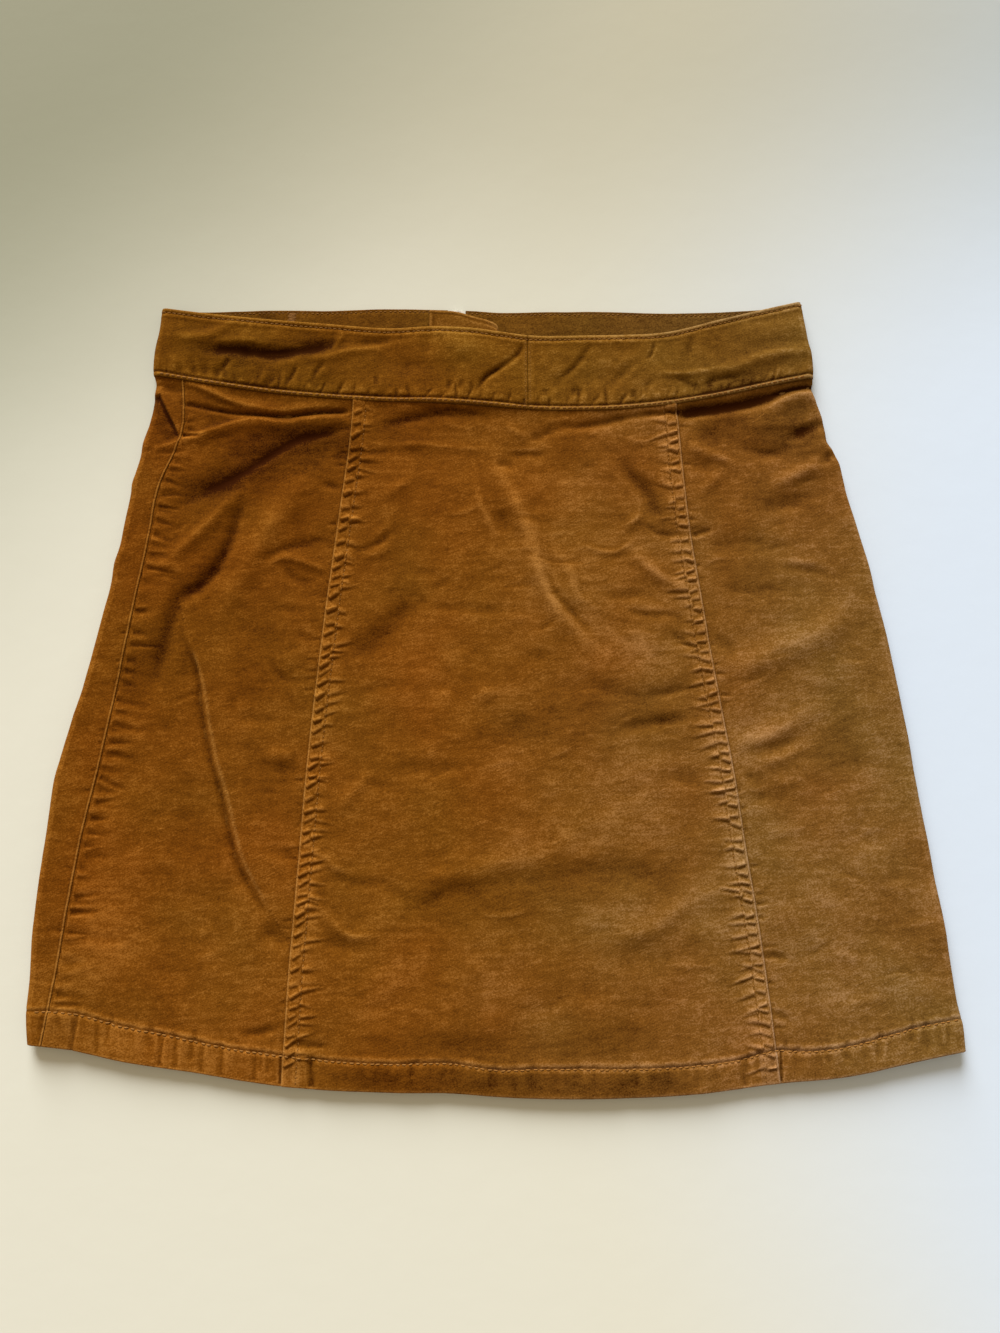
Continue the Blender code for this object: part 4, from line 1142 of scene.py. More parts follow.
# %% Faces of a closed piece
def wall_faces(shape, rows, columns):
    """Faces of the outer grid, of the coarser inner grid behind it, and of the rim between them."""
    height, width = shape
    outer = np.arange(height * width).reshape(shape)
    inner = np.arange(len(rows) * len(columns)).reshape(len(rows), len(columns)) + height * width
    faces = np.stack((outer[:-1, :-1], outer[:-1, 1:], outer[1:, 1:], outer[1:, :-1]), axis=-1)
    faces = faces.reshape(-1, 4).tolist()
    back = np.stack((inner[:-1, :-1], inner[1:, :-1], inner[1:, 1:], inner[:-1, 1:]), axis=-1)
    faces += back.reshape(-1, 4).tolist()
    sides = (
        (outer[0], columns, inner[0]),
        (outer[:, -1], rows, inner[:, -1]),
        (outer[-1][::-1], (width - 1 - columns)[::-1], inner[-1][::-1]),
        (outer[::-1, 0], (height - 1 - rows)[::-1], inner[::-1, 0]),
    )
    for edge, stops, behind in sides:
        for k in range(len(stops) - 1):
            piece = edge[stops[k] : stops[k + 1] + 1][::-1].tolist()
            faces.append(piece + [int(behind[k]), int(behind[k + 1])])
    return faces


def mesh_object(name, points, faces, smooth_to=60):
    """A new object from points in millimetres and faces."""
    mesh = bpy.data.meshes.new(name)
    mesh.from_pydata((np.asarray(points) * MM).tolist(), [], faces)
    mesh.shade_smooth()
    mesh.set_sharp_from_angle(angle=np.radians(smooth_to))
    made = bpy.data.objects.new(name, mesh)
    bpy.context.collection.objects.link(made)
    return made


def remember(piece, **numbers):
    """Keep a number for each point of a piece, for its finish to read."""
    for name, values in numbers.items():
        kept = piece.data.attributes.new(name, "FLOAT", "POINT")
        kept.data.foreach_set("value", np.asarray(values, np.float32).ravel())


print("faces of the smallest piece:", len(wall_faces((2, 2), every(2, 1), every(2, 1))))

# %% A wall of cloth
CREST_SCALE = 0.4  # bending at which a crest is fully paler, from rubbed nap and painted light, and a trough fully darker, from painted shade
cut_areas = {}


def cloth_piece(name, place, strips, surface, thickness, worn, toned, coarser=5, lining=None):
    """A closed piece of cloth. surface, worn and toned give its front's height, wear and tone at x, y.

    lining gives the relief of its inner face, where that shows.
    """
    x, y, top_x, lift = lay_out(place, strips)
    outer = np.stack((x, y, lift * surface(top_x, y)), axis=2)
    calm = np.stack((x, y, lift * surface(top_x, y, fine=False)), axis=2)
    normals = grid_normals(calm)
    facing = np.sign(normals[..., 2][np.unravel_index(lift.argmax(), lift.shape)])
    if lift.max() < 0.5:
        facing = -facing
    normals = normals * facing
    rows, columns = every(x.shape[0], coarser), every(x.shape[1], coarser)
    coarse = np.ix_(rows, columns)
    dip = deepest(np.clip(calm - outer, 0, None)[..., 2], rows, columns)[..., None]
    inner = calm[coarse] - normals[coarse] * (thickness + dip)
    if lining:
        inner[..., 2] += lining(x[coarse], y[coarse]) * (normals[coarse][..., 2] < -0.5)
    faces = wall_faces(x.shape, rows, columns)
    if facing < 0:
        faces = [face[::-1] for face in faces]
    piece = mesh_object(name, np.concatenate((outer.reshape(-1, 3), inner.reshape(-1, 3))), faces)
    # Crests are painted lighter and troughs darker, partly for rubbed nap and partly as painted light and
    # shade.
    crest = np.tanh(bending(outer) * facing / CREST_SCALE) * (lift > 0.02)
    wear = worn(top_x, y) * (lift > 0.02)
    nothing = np.zeros(inner.shape[:2])
    remember(
        piece,
        crest=np.append(crest, nothing),
        wear=np.append(wear, nothing),
        tone=np.append(toned(top_x, y) * (lift > 0.02), nothing),
        inside=np.append(np.zeros(x.shape), nothing + 1),
    )
    sides = np.diff(outer, axis=1)[:-1], np.diff(outer, axis=0)[:, :-1]
    cut_areas[name] = float(np.linalg.norm(np.cross(*sides), axis=2).sum()) * MM**2
    print(name, len(piece.data.vertices), "points,", round(cut_areas[name] * 1e4), "square centimetres")
    return piece


# %% [markdown]
# ## The panels
#
# A dressmaker cuts a centre front, two side fronts and two backs. The skirt lies turned a little: the
# left back comes round the left fold and shows as a narrow strip, and the right side front goes round
# the right fold. The two pieces at a fold are therefore one grid each, front, round and underside.

# %% Where the panels are worn
PANEL_MIDDLE = 15  # x of the middle of the centre front


def past_princess(x, y):
    """How far x lies inside the nearer princess seam, negative outside it."""
    return np.where(x < PANEL_MIDDLE, x - left_princess(y), right_princess(y) - x)


def panel_wear(x, y):
    """0 where the nap is whole, towards 1 on the edges of seams and hem."""
    inward = past_princess(x, y)
    strip_edge = 0.8 * hump(inward - 0.4, 0.4) * (inward > 0)
    past_seam = x - left_seam(y)
    side = 0.9 * hump(past_seam + 0.5, 0.45) * (past_seam < 0)
    up = y - hem_front(x)
    hem = 0.45 * hump(up, 0.9) + 0.3 * hump(up - hem_depth(x) - 1.4, 0.9)
    in_hem = up < hem_depth(x)
    patch = 0.15 * in_hem * (inward > 0) * (inward < STITCH_LINE + 2)
    corner = 0.08 * in_hem * (past_seam > 0) * (past_seam < CORNER)
    return np.clip(strip_edge + side + hem + patch + corner + relief(RUBBED_FOLDS, x, y), 0, 1)


TROUGH_TONE, CREST_TONE, SLIT_TONE = 0.10, 0.03, 0.10  # change of tone for each mm of height: painted shade in troughs and slits, painted light on crests


def fold_tone(waves, puckers):
    """Painted shade and light of waves and puckers: troughs and slits are painted darker than ridges are
    painted lighter.
    """
    tone = TROUGH_TONE * np.minimum(waves, 0) + CREST_TONE * np.maximum(waves, 0)
    return tone + SLIT_TONE * np.minimum(puckers, 0) + 2 * CREST_TONE * np.maximum(puckers, 0)


def panel_tone(x, y):
    """Lighter above 0 and darker below it: turned nap, painted light and shade on the folds, and painted
    shade at the seams, at the row of hem stitches and under the band.
    """
    waves = relief(PANEL_CREASES, x, y) + relief(LOOSE_WRINKLES, x, y)
    tone = fold_tone(waves, relief(SEAM_PUCKERS, x, y)) + relief(NAP_AND_SHADE_STROKES, x, y)
    inward = past_princess(x, y)
    on_strip = 0.08 * soft_step(inward, 0, 0.8) * (1 - soft_step(inward, 7, STITCH_LINE + 7))
    # Painted shade: a dark line just outside each strip's folded edge.
    painted_shade_beside_strip = -0.16 * np.exp(np.minimum(inward, 0) / 0.6) * (inward < 0)
    past_seam = x - left_seam(y)
    # Painted shade beside the side seam's raised lip.
    painted_shade_beside_seam = -0.07 * np.exp(-past_seam.clip(0) / 3.0) * (past_seam >= 0)
    corner = 0.05 * (y < hem_front(x) + hem_depth(x)) * (past_seam > 0) * (past_seam < CORNER)
    up = y - hem_front(x) - hem_depth(x)
    # Painted shade in the hem's stitch groove, and painted light on the swelling above it.
    painted_light_and_shade_at_stitches = -0.07 * hump(up - 0.3, 0.7) + 0.05 * hump(up - 2.6, 1.3)
    # Painted shadow under the band's foot.
    painted_shadow_under_band = -0.16 * np.exp(-(waist_front(x) - y).clip(0) / 0.9)
    return tone + on_strip + painted_shade_beside_strip + painted_shade_beside_seam + corner + painted_light_and_shade_at_stitches + painted_shadow_under_band


# %% Make the panels
PRINCESS_NEAR = HALF_SEAM + marks(15, 1.3, (0.4, 0.2), (STITCH_LINE, 0.35))
SEAM_NEAR = HALF_SEAM + marks(9, 1.0, (0, 0.25))
PANEL_LOOKS = panel_surface, PANEL, panel_wear, panel_tone
panel_place_fine = panel_place(PANEL_ROWS)

centre_strip = flat_strip(left_princess, right_princess, PRINCESS_NEAR, -PRINCESS_NEAR, 92)
front_centre = cloth_piece("centre_front", panel_place_fine, [centre_strip], *PANEL_LOOKS)

side_strip = flat_strip(left_seam, left_princess, SEAM_NEAR, -SEAM_NEAR, 72)
front_left = cloth_piece("left_side_front", panel_place_fine, [side_strip], *PANEL_LOOKS)

at_right_roll = np.array((-ROLL, -ROLL - 1))
right_strips = [
    flat_strip(right_princess, right_fold, SEAM_NEAR, at_right_roll, 70),
    roll_strip(right_fold, 1),
    flat_strip(right_fold, right_seam, at_right_roll, np.array((HALF_SEAM, 1.0)), 3, -90),
]
front_right = cloth_piece("right_side_front", panel_place_fine, right_strips, *PANEL_LOOKS)

back_near = np.array((HALF_SEAM, 2.0))
past_left_seam = -HALF_SEAM - marks(2, 0.5, (0, 0.2))
left_strips = [
    flat_strip(left_seam, left_fold, past_left_seam, np.array((ROLL, ROLL + 0.4)), 16),
    roll_strip(left_fold, -1),
    flat_strip(left_fold, centre_back, np.array((ROLL, ROLL + 2)), -back_near, 14, -90),
]
back_left = cloth_piece("left_back", panel_place_fine, left_strips, *PANEL_LOOKS)

back_strip = flat_strip(centre_back, right_seam, back_near, -back_near, 16, -90)
back_right = cloth_piece("right_back", panel_place(PLAIN_ROWS), [back_strip], *PANEL_LOOKS, coarser=1)

# %% [markdown]
# ## The waistband
#
# The band is doubled cloth, stiffened inside, in two halves that meet at the centre front and leave a
# gap for the zip at the back. Its foot is rolled over the seam like a cord, and stitched along that roll.
# The front of the band hangs lower than the back, so about a centimetre of the back's inner face shows:
# that is the inner grid of the same pieces, and it gets its own row of stitches and a little relief.

# %% Make the waistband
BACK_STITCH = 1.7  # the back's stitches lie this far below its top
CHANNEL = 4.8  # half width of the gap between the band's ends


def band_wear(x, y):
    up, down = y - waist_front(x) - SEAM, top_front(x) - y
    to_right = soft_step(x, -20, 90)
    foot = (0.22 + 0.3 * to_right) * hump(up - PIPING / 2, 0.7)
    rim = (0.5 + 0.35 * to_right) * hump(down - 0.6, 0.9)
    seam = 0.1 * hump(np.abs(x - BAND_FRONT_SEAM) - 1.4, 0.6)
    return np.clip(foot + rim + seam, 0, 1)


def band_tone(x, y):
    # Painted light and shade on the band's folds and puckers, turned nap with painted shade, and painted
    # shade in the groove above the piping.
    tone = fold_tone(relief(BAND_CREASES, x, y), relief(BAND_PUCKERS, x, y)) + relief(BAND_NAP_AND_SHADE_STROKES, x, y)
    up = y - waist_front(x) - SEAM
    painted_shade_above_piping = -0.24 * hump(up - PIPING - 0.8, 0.9)
    at_join = -0.16 * hump(x - BAND_FRONT_SEAM, 0.9)
    return tone + painted_shade_above_piping + at_join


def lining_relief(x, y):
    """The inner face of the band's back: a rounded top edge, a stitch groove, and slow waves."""
    down = top_back(x) - y
    groove = stitch_groove(down - BACK_STITCH, 0.3, 0.5) + rounded_edge(down, 0.8, 0.5)
    return groove + 0.2 * uneven(x, y, 13, 6) + 0.08 * uneven(x, y, 4, 7)


def upright(x):
    """A line that stands at x from hem to waist."""
    return lambda y: np.full_like(y, x)


band_pieces = {}
for name, fold, side, count in (("left_band", left_fold, -1, 215), ("right_band", right_fold, 1, 165)):
    near_seam = side * (HALF_SEAM + marks(4, 0.8, (0, 0.2)))
    front_roll, back_roll = -side * np.array((ROLL, ROLL + 0.6)), -side * np.array((ROLL, ROLL + 1))
    at_zip = side * np.array((CHANNEL, CHANNEL + 1))
    strips = [
        flat_strip(upright(BAND_FRONT_SEAM), fold, near_seam, front_roll, count),
        roll_strip(fold, side),
        flat_strip(fold, centre_back, back_roll, at_zip, 90, -90),
    ]
    looks = band_surface, BAND, band_wear, band_tone
    band_pieces[name] = cloth_piece(name, band_place, strips, *looks, coarser=1, lining=lining_relief)

# %% [markdown]
# ## The zip guard
#
# Behind the zip a small tab of the same cloth keeps the teeth off the skin. Its upper edge slopes down
# to a rounded tip, and it shows above the front of the band. It is a grid too, with a curved top line.

# %% Make the zip guard
TAB_LOW, TAB_HIGH, TAB_BOTTOM = 2.95, 4.25, 158.5
TAB_ROWS = marks(1.0, 0.035, (1.0, 0.006))[:, None]
TAB_TOPS = (
    (-36, 197.8), (-30, 197.8), (-22, 197.3), (-12, 194.3),
    (-4, 191.9), (-1, 190.4), (0.4, 188.8), (1.0, 186.5),
)
tab_top = pair_curve(TAB_TOPS)


def tab_place(x, under):
    return TAB_BOTTOM + TAB_ROWS * (tab_top(x) - TAB_BOTTOM)


def tab_surface(x, y, fine=True):
    if not fine:
        return np.full_like(x, TAB_HIGH)
    down = tab_top(x) - y
    edge = rounded_edge(np.minimum(down, TAB_RIGHT - x), 1.2, 0.6) + rounded_edge(x - TAB_LEFT, 1.2, 0.5)
    groove = stitch_groove(down - 2.0, 0.3)
    side_edge = 0.5 * hump(x - TAB_LEFT - 1, 1)
    return TAB_HIGH + edge + groove + 0.15 * uneven(x, y, 7, 8) + side_edge


def tab_wear(x, y):
    down = tab_top(x) - y
    tip = hump(x - TAB_RIGHT, 4) * hump(down, 2.5)
    return np.clip(0.15 * hump(down, 0.9) + 0.8 * tip + 0.12 * hump(x - TAB_LEFT, 1), 0, 1)


def tab_tone(x, y):
    return 0.02 + 0.1 * soft_step(x, TAB_LEFT, TAB_RIGHT)


tab_sides = upright(TAB_LEFT), upright(TAB_RIGHT)
tab_strip = flat_strip(*tab_sides, marks(3, 0.6, (0, 0.2)), -marks(3, 0.6, (0, 0.15)), 44)
TAB_LOOKS = tab_surface, TAB_HIGH - TAB_LOW, tab_wear, tab_tone
zip_guard = cloth_piece("zip_guard", tab_place, [tab_strip], *TAB_LOOKS, coarser=4)

# %% [markdown]
# ## Threads
#
# Every visible stitch is a short length of thread that rises out of one hole and dives into the next.
# Threads are drawn as little six-sided tubes with narrow, lowered ends, a few thousand faces a row. A
# bump map could draw them too, but real ones catch the light from every side.

# %% One row of stitches
THREAD_SIDES = 6
# place along the stitch, share of its radius, and lift, for each ring of a thread
THREAD_RINGS = ((-0.5, 0.35, -0.22), (-0.3, 1.0, 0.0), (0.0, 1.1, 0.06), (0.3, 1.0, 0.0), (0.5, 0.35, -0.22))


def thread_row(name, x, y, height, pitch=2.6, long=2.1, thick=0.26, seed=0, sunk=0.02):
    """Stitches along the path x, y. height gives the cloth's height, thick is a thread's radius."""
    chance = np.random.default_rng(seed)
    along = np.concatenate(([0], np.cumsum(np.hypot(np.diff(x), np.diff(y)))))
    at = np.arange(pitch / 2, along[-1], pitch)
    at = at + chance.uniform(-0.12, 0.12, len(at)) * pitch
    cx, cy = np.interp(at, along, x), np.interp(at, along, y)
    dx = np.interp(at + 0.4, along, x) - np.interp(at - 0.4, along, x)
    dy = np.interp(at + 0.4, along, y) - np.interp(at - 0.4, along, y)
    size = np.maximum(np.hypot(dx, dy), 1e-6)
    dx, dy = dx / size, dy / size
    lean = chance.normal(0, 0.09, len(at))
    dx, dy = dx - lean * dy, dy + lean * dx
    points, faces = [], []
    angles = 2 * np.pi * np.arange(THREAD_SIDES) / THREAD_SIDES
    for k in range(len(at)):
        span = long * chance.uniform(0.85, 1.1)
        base = len(points)
        for share, wide, lift in THREAD_RINGS:
            px, py = cx[k] + share * span * dx[k], cy[k] + share * span * dy[k]
            pz = float(height(np.array([px]), np.array([py]))[0]) + lift - sunk
            for a in angles:
                out, up = np.cos(a) * thick * wide, np.sin(a) * thick * wide
                points.append((px - dy[k] * out, py + dx[k] * out, pz + up))
        for r in range(len(THREAD_RINGS) - 1):
            for s in range(THREAD_SIDES):
                low, high = base + r * THREAD_SIDES, base + (r + 1) * THREAD_SIDES
                after = (s + 1) % THREAD_SIDES
                faces.append((low + s, high + s, high + after, low + after))
        last = base + (len(THREAD_RINGS) - 1) * THREAD_SIDES
        faces.append(tuple(base + s for s in range(THREAD_SIDES)))
        faces.append(tuple(last + s for s in reversed(range(THREAD_SIDES))))
    row = mesh_object(name, points, faces, 180)
    print(name, len(at), "stitches")
    return row


# %% [markdown]
# The height function is slow when it is asked point by point, so each row first reads the cloth along
# its own path, smooths those heights a little, and then looks them up.

# %% Heights along a row
def ribbon_height(surface, x, y, smooth=2):
    """A quick height function for points near the path x, y."""
    values = surface(x, y)
    kernel = np.ones(2 * smooth + 1) / (2 * smooth + 1)
    values = np.convolve(np.pad(values, smooth, mode="edge"), kernel, mode="valid")
    along_x = np.ptp(x) > np.ptp(y)
    key = x if along_x else y
    order = np.argsort(key)

    def read(px, py):
        return np.interp(px if along_x else py, key[order], values[order])

    return read


def row_on(surface, name, x, y, **settings):
    """A row of stitches that follows a surface."""
    lift = settings.pop("lift", 0.0)
    reader = ribbon_height(lambda px, py: surface(px, py) + lift, x, y)
    return thread_row(name, x, y, reader, **settings)


# %% Stitch the panels
down_y = np.linspace(-201, 141.5, 1400)
princess_rows = []
PRINCESS_ROWS = (("left_topstitch", left_princess, 1, 21), ("right_topstitch", right_princess, -1, 22))
for name, seam, side, seed in PRINCESS_ROWS:
    row_x = seam(down_y) + side * STITCH_LINE
    inside = (down_y > hem_front(row_x) + 0.8) & (down_y < waist_front(row_x) - 0.4)
    path = row_x[inside], down_y[inside]
    princess_rows.append(row_on(panel_surface, name, *path, seed=seed, lift=0.08, long=1.3, thick=0.2))

hem_x = np.linspace(-223, 222, 1800)
hem_y = hem_front(hem_x) + hem_depth(hem_x)
hem_lift = 0.26 + 0.2 * hump(hem_x + 162, 38)  # the thread stands out most at the left
hem_sizes = {"pitch": 3.15, "long": 2.2, "thick": 0.34}
hem_stitches = row_on(panel_surface, "hem_stitches", hem_x, hem_y, seed=23, lift=hem_lift, **hem_sizes)

# %% Stitch the band
band_x = np.linspace(-177.5, 163.5, 1500)
foot_y = waist_front(band_x) + SEAM + BAND_STITCH
foot_sizes = {"pitch": 2.95, "long": 2.3, "thick": 0.5}
foot_stitches = row_on(band_surface, "band_foot_stitches", band_x, foot_y, seed=24, lift=0.12, **foot_sizes)
rim_y = top_front(band_x) - TOP_STITCH
rim_stitches = row_on(band_surface, "band_top_stitches", band_x, rim_y, seed=25, lift=0.18)
join_rows = []
join_ends = float(waist_front(BAND_FRONT_SEAM)) + 4, float(top_front(BAND_FRONT_SEAM)) - 3
join_y = np.linspace(*join_ends, 120)
for name, offset, seed in (("left_join_stitches", -1.15, 26), ("right_join_stitches", 1.15, 27)):
    join_x = np.full_like(join_y, BAND_FRONT_SEAM + offset)
    join_rows.append(row_on(band_surface, name, join_x, join_y, seed=seed, pitch=2.4, long=1.3, thick=0.14))


def lining_height(x, y):
    return BAND + lining_relief(x, y)


lining_x = np.linspace(-165, 148, 1200)
lining_y = top_back(lining_x) - BACK_STITCH
lining_stitches = row_on(lining_height, "lining_stitches", lining_x, lining_y, seed=28, lift=0.2, long=1.7)

# %% [markdown]
# A bar tack is a short dense block of thread that takes the strain of a loop or a seam end. Here it
# stands on the inner face of the band, next to the left side: a dozen short threads above each other.

# %% The bar tack
TACK_X, TACK_HALF = -109.8, 2.6
TACK_LOW, TACK_HIGH, TACK_STEP = 190.8, 197.2, 0.58
tack_x = np.linspace(TACK_X - TACK_HALF, TACK_X + TACK_HALF, 12)
tack_sizes = {"pitch": 2 * TACK_HALF, "long": 5.0, "thick": 0.3}
tack_rows = []
for k, tack_y in enumerate(np.arange(TACK_LOW, TACK_HIGH, TACK_STEP)):
    path = tack_x, np.full_like(tack_x, tack_y)
    tack_rows.append(thread_row(f"bar_tack_{k}", *path, lining_height, seed=40 + k, **tack_sizes))
bpy.ops.object.select_all(action="DESELECT")
for row in tack_rows:
    row.select_set(True)
bpy.context.view_layer.objects.active = tack_rows[0]
bpy.ops.object.join()
bar_tack = tack_rows[0]
bar_tack.name = "bar_tack"
print("bar tack joined from", len(tack_rows), "threads")

# %% [markdown]
# ## The zip
#
# Only the tip of the slider shows from above, but the gap between the band's ends shows the zip from
# below, so it gets its tape and its teeth. Each tooth is a small block with bevelled corners, set left
# and right in turn, and the tape is a thin woven strip on each side.

# %% The tape
CHAIN_TOP = 187.6
TAPE_LOW, TAPE_HIGH = 1.85, 2.35


def tape_mesh():
    points, faces = [], []
    heights = np.linspace(ZIP_BOTTOM, CHAIN_TOP, 40)
    for side in (-1, 1):
        grid = []
        for y in heights:
            middle = float(centre_back(y))
            inner, outer = middle + side * 0.45, middle + side * CHAIN_WIDTH / 2
            corners = (inner, TAPE_LOW), (outer, TAPE_LOW), (outer, TAPE_HIGH), (inner, TAPE_HIGH)
            grid.append([(x, y, z) for x, z in corners])
        base = len(points)
        points += [corner for ring in grid for corner in ring]
        for r in range(len(grid) - 1):
            for k in range(4):
                a, b = base + 4 * r + k, base + 4 * r + (k + 1) % 4
                quad = (a, b, b + 4, a + 4)
                faces.append(quad if side > 0 else quad[::-1])
        last = base + 4 * (len(grid) - 1)
        ends = [tuple(base + k for k in (3, 2, 1, 0)), tuple(last + k for k in range(4))]
        faces += ends if side > 0 else [end[::-1] for end in ends]
    return points, faces


zip_tape = mesh_object("zip_tape", *tape_mesh(), 30)
print("tape from", ZIP_BOTTOM, "to", CHAIN_TOP, "mm")


# %% The teeth
TOOTH_PITCH, TOOTH_LENGTH = 1.15, 0.75
TOOTH_NEAR, TOOTH_FAR = 0.5, 1.7  # how far a tooth reaches past the zip's middle, and back from it


def add_box(points, faces, corners, low, high):
    """A block on four corners (x, y), appended to a list of points and faces."""
    base = len(points)
    points += [(x, y, low) for x, y in corners] + [(x, y, high) for x, y in corners]
    faces += [(base + 3, base + 2, base + 1, base), (base + 4, base + 5, base + 6, base + 7)]
    for k in range(4):
        after = (k + 1) % 4
        faces.append((base + k, base + after, base + 4 + after, base + 4 + k))


def teeth_mesh():
    points, faces = [], []
    for k, y in enumerate(np.arange(ZIP_BOTTOM + 1, CHAIN_TOP - 0.6, TOOTH_PITCH)):
        side = 1 if k % 2 else -1
        middle = float(centre_back(y))
        west, east = sorted((middle - side * TOOTH_NEAR, middle + side * TOOTH_FAR))
        corners = ((west, y), (east, y), (east, y + TOOTH_LENGTH), (west, y + TOOTH_LENGTH))
        add_box(points, faces, corners, CHAIN_LOW, CHAIN_HIGH)
    return points, faces


zip_teeth = mesh_object("zip_teeth", *teeth_mesh(), 30)
bevel = zip_teeth.modifiers.new("soft corners", "BEVEL")
bevel.width = 0.12 * MM
bevel.segments = 2
print("teeth:", len(zip_teeth.data.polygons) // 6)

# %% [markdown]
# ## Shader sums as Python
#
# A material is easier to read as a formula than as a tangle of nodes. One small class wraps a socket, so
# that `1 - mask` or `grain * 0.4 + blotch` adds the Math nodes itself. Every other node comes from one
# method, which sets the node's own settings first and then its sockets.

# %% A socket with sums
class Flow:
    """What comes out of one socket of a material."""

    def __init__(self, tree, socket):
        self.tree = tree
        self.socket = socket

    def node(self, kind, settings=None, sockets=None, take=0):
        """A new node of a kind: its settings first, then values or links for its sockets."""
        made = self.tree.nodes.new(kind)
        for key, value in (settings or {}).items():
            if key == "stops":
                ramp = made.color_ramp.elements
                while len(ramp) < len(value):
                    ramp.new(0.5)
                for element, (place, colour) in zip(ramp, value):
                    element.position = place
                    element.color = (*colour, 1)
            else:
                setattr(made, key, value)
        for key, value in (sockets or {}).items():
            if isinstance(value, Flow):
                self.tree.links.new(made.inputs[key], value.socket)
            else:
                made.inputs[key].default_value = value
        return type(self)(self.tree, made.outputs[take])

    def maths(self, operation, first, second, clamp=False):
        settings = {"operation": operation, "use_clamp": clamp}
        return self.node("ShaderNodeMath", settings, {0: first, 1: second})

    def __add__(self, other):
        return self.maths("ADD", self, other)

    def __radd__(self, other):
        return self.maths("ADD", other, self)

    def __sub__(self, other):
        return self.maths("SUBTRACT", self, other)

    def __rsub__(self, other):
        return self.maths("SUBTRACT", other, self)

    def __mul__(self, other):
        return self.maths("MULTIPLY", self, other)

    def __rmul__(self, other):
        return self.maths("MULTIPLY", other, self)

    def clipped(self):
        """The same number, kept between 0 and 1."""
        return self.maths("ADD", self, 0.0, clamp=True)


# %% The kinds of node that the finishes use
class Finish(Flow):
    """A Flow with short names for noise, ramps, mixes and bumps."""

    def kept(self, name):
        """A number that the piece keeps for each point."""
        return self.node("ShaderNodeAttribute", {"attribute_name": name}, take=2)

    def noise(self, scale, detail=2.0, roughness=0.5, stretch=(1, 1, 1), offset=(0, 0, 0)):
        """Soft noise between 0 and 1, read at this position in metres."""
        place = self.node("ShaderNodeVectorMath", {"operation": "MULTIPLY"}, {0: self, 1: stretch})
        place = self.node("ShaderNodeVectorMath", {"operation": "ADD"}, {0: place, 1: offset})
        sockets = {"Vector": place, "Scale": scale, "Detail": detail, "Roughness": roughness}
        return self.node("ShaderNodeTexNoise", {}, sockets)

    def mixed(self, other, share, blend="MIX"):
        """This colour mixed with another by share."""
        settings = {"data_type": "RGBA", "blend_type": blend, "clamp_factor": True}
        return self.node("ShaderNodeMix", settings, {0: share, 6: self, 7: other}, take=2)

    def times(self, colour, share=1.0):
        """This colour multiplied by another, as far as share says."""
        other = colour if isinstance(colour, Flow) else (*colour, 1)
        return self.mixed(other, share, "MULTIPLY")

    def ramp(self, *stops):
        """The colour that this number picks from a ramp with stops (place, colour)."""
        return self.node("ShaderNodeValToRGB", {"stops": stops}, {"Fac": self})

    def rise(self, low, high):
        """0 where this number is below low, 1 above high, and a smooth rise between them."""
        sockets = {"Value": self, "From Min": low, "From Max": high}
        return self.node("ShaderNodeMapRange", {"interpolation_type": "SMOOTHSTEP"}, sockets)

    def part(self, axis):
        """One coordinate of this position: 0 for x, 1 for y."""
        return self.node("ShaderNodeSeparateXYZ", {}, {"Vector": self}, take=axis)

    def turned(self, angle):
        """This position turned about Z by an angle in radians."""
        sockets = {"Vector": self, "Angle": angle}
        return self.node("ShaderNodeVectorRotate", {"rotation_type": "Z_AXIS"}, sockets)

    def bump(self, strength, distance):
        """A normal that follows this height."""
        return self.node("ShaderNodeBump", {}, {"Strength": strength, "Distance": distance, "Height": self})


# %% A new material
def new_finish(name, roughness=0.9, metallic=0.0, sheen=0.0):
    """A material, its shader node, and the position on the object as a Finish."""
    material = bpy.data.materials.new(name)
    material.use_nodes = True
    shader = material.node_tree.nodes["Principled BSDF"]
    shader.inputs["Roughness"].default_value = roughness
    shader.inputs["Metallic"].default_value = metallic
    shader.inputs["Sheen Weight"].default_value = sheen
    shader.inputs["Sheen Roughness"].default_value = 0.5
    place = material.node_tree.nodes.new("ShaderNodeTexCoord").outputs["Object"]
    print("finish:", name)
    return material, shader, Finish(material.node_tree, place)


def paint(shader, socket, flow):
    """Link a Flow to one of the shader's own sockets."""
    flow.tree.links.new(shader.inputs[socket], flow.socket)


# %% [markdown]
# ## Brushed cotton
#
# Brushed cotton is twill whose face has been raised to a short nap. Up close it is a fine grain of
# lighter and darker tufts, half a millimetre to a millimetre wide. From a step away the nap lies this
# way and that, in soft blotches, and faint slanting ribs of the twill show through. Seam edges and hems
# have lost their nap and are paler. Crests are paler too, partly from lost nap and partly as painted
# light, and troughs are painted darker as shade. The finish adds these up as one brightness and reads the
# colour from a ramp, then tints it with painted cool light towards the lower right and painted shade
# towards the upper left.

# %% The cloth's finish
DEEP = (0.030, 0.0062, 0.0002)
PLAIN = (0.166, 0.0593, 0.0050)
PALE = (0.42, 0.190, 0.042)
WORN = (0.35, 0.185, 0.052)
OLIVE_HUE, RED_HUE = (0.93, 1.0, 0.95), (1.0, 0.90, 0.76)  # the cloth drifts between these
PAINTED_COOL_LIGHT = (1.03, 1.42, 3.7)  # painted cool window light towards the lower right, which greys the colour there
PAINTED_UPPER_SHADE = (0.88, 0.80, 0.55)  # and painted shade at the upper left, where the colour is deepest
LINING = (1.04, 1.18, 2.0)  # the inner face is a little greyer
RIB_ANGLE = np.radians(-24)


